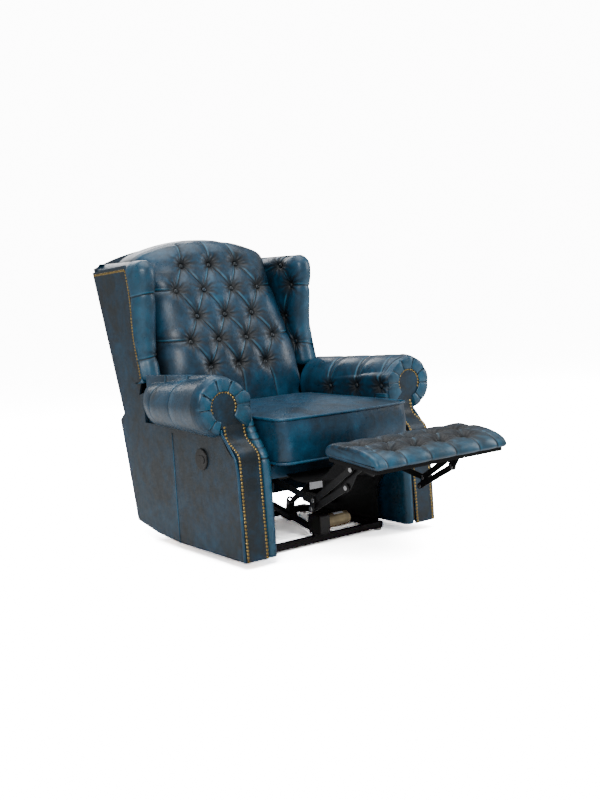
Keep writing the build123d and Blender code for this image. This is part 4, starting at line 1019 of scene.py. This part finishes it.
inflate(cushion, 0.006, 4.0, 0.026, cushion_pin)
subdivide = cushion.modifiers.new("subdivide", "SUBSURF")
subdivide.levels = subdivide.render_levels = 1
apply_modifier(cushion, "subdivide")
cushion.data.polygons.foreach_set("use_smooth", [True] * len(cushion.data.polygons))
finished(cushion, "seat", ["seat_cushion"])

welt_line = cushion_outline(1.0, 260)
welts = []
for z in (CUSHION_LOW + 3.5, CUSHION_HIGH - 2.5):
    welts.append(ring_tube(np.column_stack([welt_line, np.full(260, z)]), WELT_R))
welt = piece("seat_cushion_welts", welts, "leather_edge")
finished(welt, "seat", [])


# ---- footrest ------------------------------------------------------------------------------------
REST_REAR = (-243.0, 404.0)
REST_LEAN = math.radians(5)
REST_HALF = 263.6
REST_SIDE = 11.0
REST_UNDER = 37.8
REST_SHAPE = [(12, REST_UNDER), (2, 33), (-2, 22), (3, 8), (20, -3), (60, -9), (118, -12)]
REST_SHAPE += [(168, -9), (204, -1), (224, 8), (235, 19), (238, 29), (232, 36), (222, REST_UNDER)]



def rest_place(x, run, drop):
    """Points of the footrest: run forward along its top and drop below it."""
    y = REST_REAR[0] - run * math.cos(REST_LEAN) + drop * math.sin(REST_LEAN)
    z = REST_REAR[1] - run * math.sin(REST_LEAN) - drop * math.cos(REST_LEAN)
    return np.stack([x, y, z], axis=-1)


REST_POINTS = 150
rest_base = spread([(218, REST_UNDER), (16, REST_UNDER)], 30)
rest_line = np.concatenate([smooth_line(REST_SHAPE, REST_POINTS), rest_base])
rest_forward = np.roll(rest_line, -1, axis=0) - np.roll(rest_line, 1, axis=0)
rest_out = np.stack([rest_forward[:, 1], -rest_forward[:, 0]], axis=1)
rest_out /= np.linalg.norm(rest_out, axis=1, keepdims=True)
if np.sum(rest_out * (rest_line - rest_line.mean(axis=0))) < 0:
    rest_out = -rest_out
rest_x, rest_in = [], []
for share in np.linspace(0, 1, 10):
    rest_x.append(-REST_HALF + REST_SIDE * (1 - math.cos(share * math.pi / 2)))
    rest_in.append(REST_SIDE * (1 - math.sin(share * math.pi / 2)))
inside = np.linspace(-REST_HALF + REST_SIDE, REST_HALF - REST_SIDE, 178)[1:-1]
rest_x += list(inside) + [-x for x in rest_x[::-1]]
rest_in += [0.0] * len(inside) + rest_in[9::-1]
rest_rows = []
for x, inset in zip(rest_x, rest_in):
    section = rest_line - rest_out * inset
    rest_rows.append(rest_place(np.full(len(section), x), section[:, 0], section[:, 1]))
rest_grid = np.array(rest_rows)
rest_v = lengths(rest_line)
rest_v = np.broadcast_to(rest_v - np.interp(0, rest_line[:60, 0], rest_v[:60]), rest_grid.shape[:2])
rest_u = np.broadcast_to(np.array(rest_x)[:, None], rest_grid.shape[:2])
rest_axis = np.array([0, -math.sin(REST_LEAN), math.cos(REST_LEAN)])
rest_places = clusters("footrest_buttons")
pits = find_pits(rest_grid, rest_u, rest_v, rest_places, rest_axis)
split = np.mean([p[1] for p in pits])
near_row = sorted((p[0], p[1]) for p in pits if p[1] < split)
far_row = sorted((p[0], p[1]) for p in pits if p[1] > split)
front_end = far_row[0][1] + 150
pleats = []
for a in near_row:
    pleats += [(a, (a[0], a[1] - 90), 0.9, 0.7)]
    pleats += [(a, b, 1, 1) for b in far_row if abs(a[0] - b[0]) < 70]
for a in far_row:
    pleats += [(a, (a[0] - 3, front_end), 1, 0.7)]
for a in (near_row[0], near_row[-1]):
    out = math.copysign(1, a[0])
    bend = (a[0] + out * 26, a[1] + 90)
    pleats += folds([a, bend, (a[0] + out * 24, front_end)], [1, 0.9, 0.6])
    pleats += [(a, (a[0] + out * 90, a[1] + 6), 0.7, 0.4)]
# dark widens the painted shade in the footrest's pits
depth, painted_shade, edge = tuft(rest_u, rest_v, pits, pleats, 42, 9, 40, oval=0.62, dark=2.6)
under = np.zeros(len(rest_line))
steps = np.arange(REST_POINTS)
under[:REST_POINTS] = ease(np.minimum(steps / 10, (REST_POINTS - 1 - steps) / 12))
depth = depth * under
rest_grid = rest_grid - outward(rest_grid) * depth[..., None]
# painted highlight on the footrest's front face
rest_front_highlight = 0.35 * ease((rest_v - 205) / 20) * under
fades = {"painted_shade": [painted_shade * under], "edge": [np.maximum(edge * under, rest_front_highlight)]}
rest_pad = piece("footrest_leather", [rest_grid], "leather", fades)
finished(rest_pad, "footrest", ["footrest_pad"])
lifted = [c + rest_axis * 1.0 for c in rest_places]
buttons = domes("footrest_buttons_covered", lifted, [rest_axis] * len(lifted), REST_BUTTON)
finished(buttons, "footrest", ["footrest_buttons"])


# ---- lining between the seat and the footrest ----------------------------------------------------
sag = smooth_line([(43.4, 271), (20, 263), (-80, 263.5), (-150, 291), (-205, 334), (-237, 366)], 90)
sag_out = np.stack([-np.gradient(sag[:, 1]), np.gradient(sag[:, 0])], axis=1)
sag_out /= np.linalg.norm(sag_out, axis=1, keepdims=True)
LINING_HALF = 200.0
lining_x = np.linspace(-LINING_HALF, LINING_HALF, 120)
lining_rows = []
for x in lining_x:
    hang = np.sin(np.linspace(0, np.pi, 90))
    wave = hang * (4.0 * math.sin(x / 31) + 2.4 * math.sin(x / 17 + 1.3) + 6.0 * math.cos(x / 127))
    upper = sag + sag_out * (wave + 0.7)[:, None]
    lower = sag + sag_out * (wave - 0.7)[:, None]
    ring = np.concatenate([upper, lower[::-1]])
    lining_rows.append(np.column_stack([np.full(len(ring), x), ring]))
lining = piece("lining_cloth", [np.array(lining_rows)], "black_cloth")
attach(lining, "base")
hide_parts("gap_cloth")
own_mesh(lining)


# ---- welts, seams and labels ---------------------------------------------------------------------
FACING_EDGE = [(2, 27.5), (4, 120), (9, 230), (16, 330), (22, 348), (48, 378), (74, 406)]
FACING_EDGE += [(90, 424), (93, 436)]
edge_line = smooth_line(FACING_EDGE, 160)
welt_x = np.full(160, -ARM_OUT + 0.5)
outer_welt = tube(np.column_stack([welt_x, edge_line[:, 0] + 9, edge_line[:, 1]]), WELT_R)
seam_line = smooth_line([(404, 28), (407, 150), (409, 300), (410, 402)], 80)
panel_seam = tube(np.column_stack([np.full(80, -ARM_OUT - 0.2), seam_line]), 1.9, 8)
trim = [outer_welt, panel_seam]
trim += [mirrored(g) for g in trim]
finished(piece("arm_edge_welts", trim, "leather_edge"), "base", [])

lo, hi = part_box("actuator_motor")
motor_y, motor_z = (lo.y + hi.y) / 2 * 1000 - FACE, (lo.z + hi.z) / 2 * 1000
motor_r = (hi.z - lo.z) * 500
label_rows = []
for x in np.linspace(hi.x * 1000 - 66, hi.x * 1000 - 26, 12):
    angle = np.radians(np.linspace(62, 128, 20))
    ring = []
    for r in (motor_r + 0.7, motor_r + 0.1):
        across, up = r * np.cos(angle), r * np.sin(angle)
        ring.append(np.column_stack([np.full(20, x), motor_y - across, motor_z + up]))
    label_rows.append(np.concatenate([ring[0], ring[1][::-1]]))
finished(piece("motor_label", [np.array(label_rows)], "white_tag"), "base", [])


# ---- floor ---------------------------------------------------------------------------------------
floor_mesh = bpy.data.meshes.new("floor")
floor_mesh.from_pydata([(-30, -30, 0), (30, -30, 0), (30, 30, 0), (-30, 30, 0)], [], [(0, 1, 2, 3)])
floor = bpy.data.objects.new("floor", floor_mesh)
bpy.context.scene.collection.objects.link(floor)
s = Shader("floor")
sight = s.tree.nodes.new("ShaderNodeLightPath").outputs["Is Camera Ray"]
low, high = FLOOR_WHITE - 0.2, FLOOR_WHITE + 0.2
pale = s.mix(s.noise(0.4, 2), (low, low, low + 0.1), (high, high, high))
paper = s.tree.nodes.new("ShaderNodeBsdfDiffuse")
s.put(paper.inputs["Color"], s.mix(sight, (0.85, 0.85, 0.85), pale))
s.tree.links.new(paper.outputs["BSDF"], s.tree.nodes["Material Output"].inputs["Surface"])
floor_mesh.materials.append(s.material)
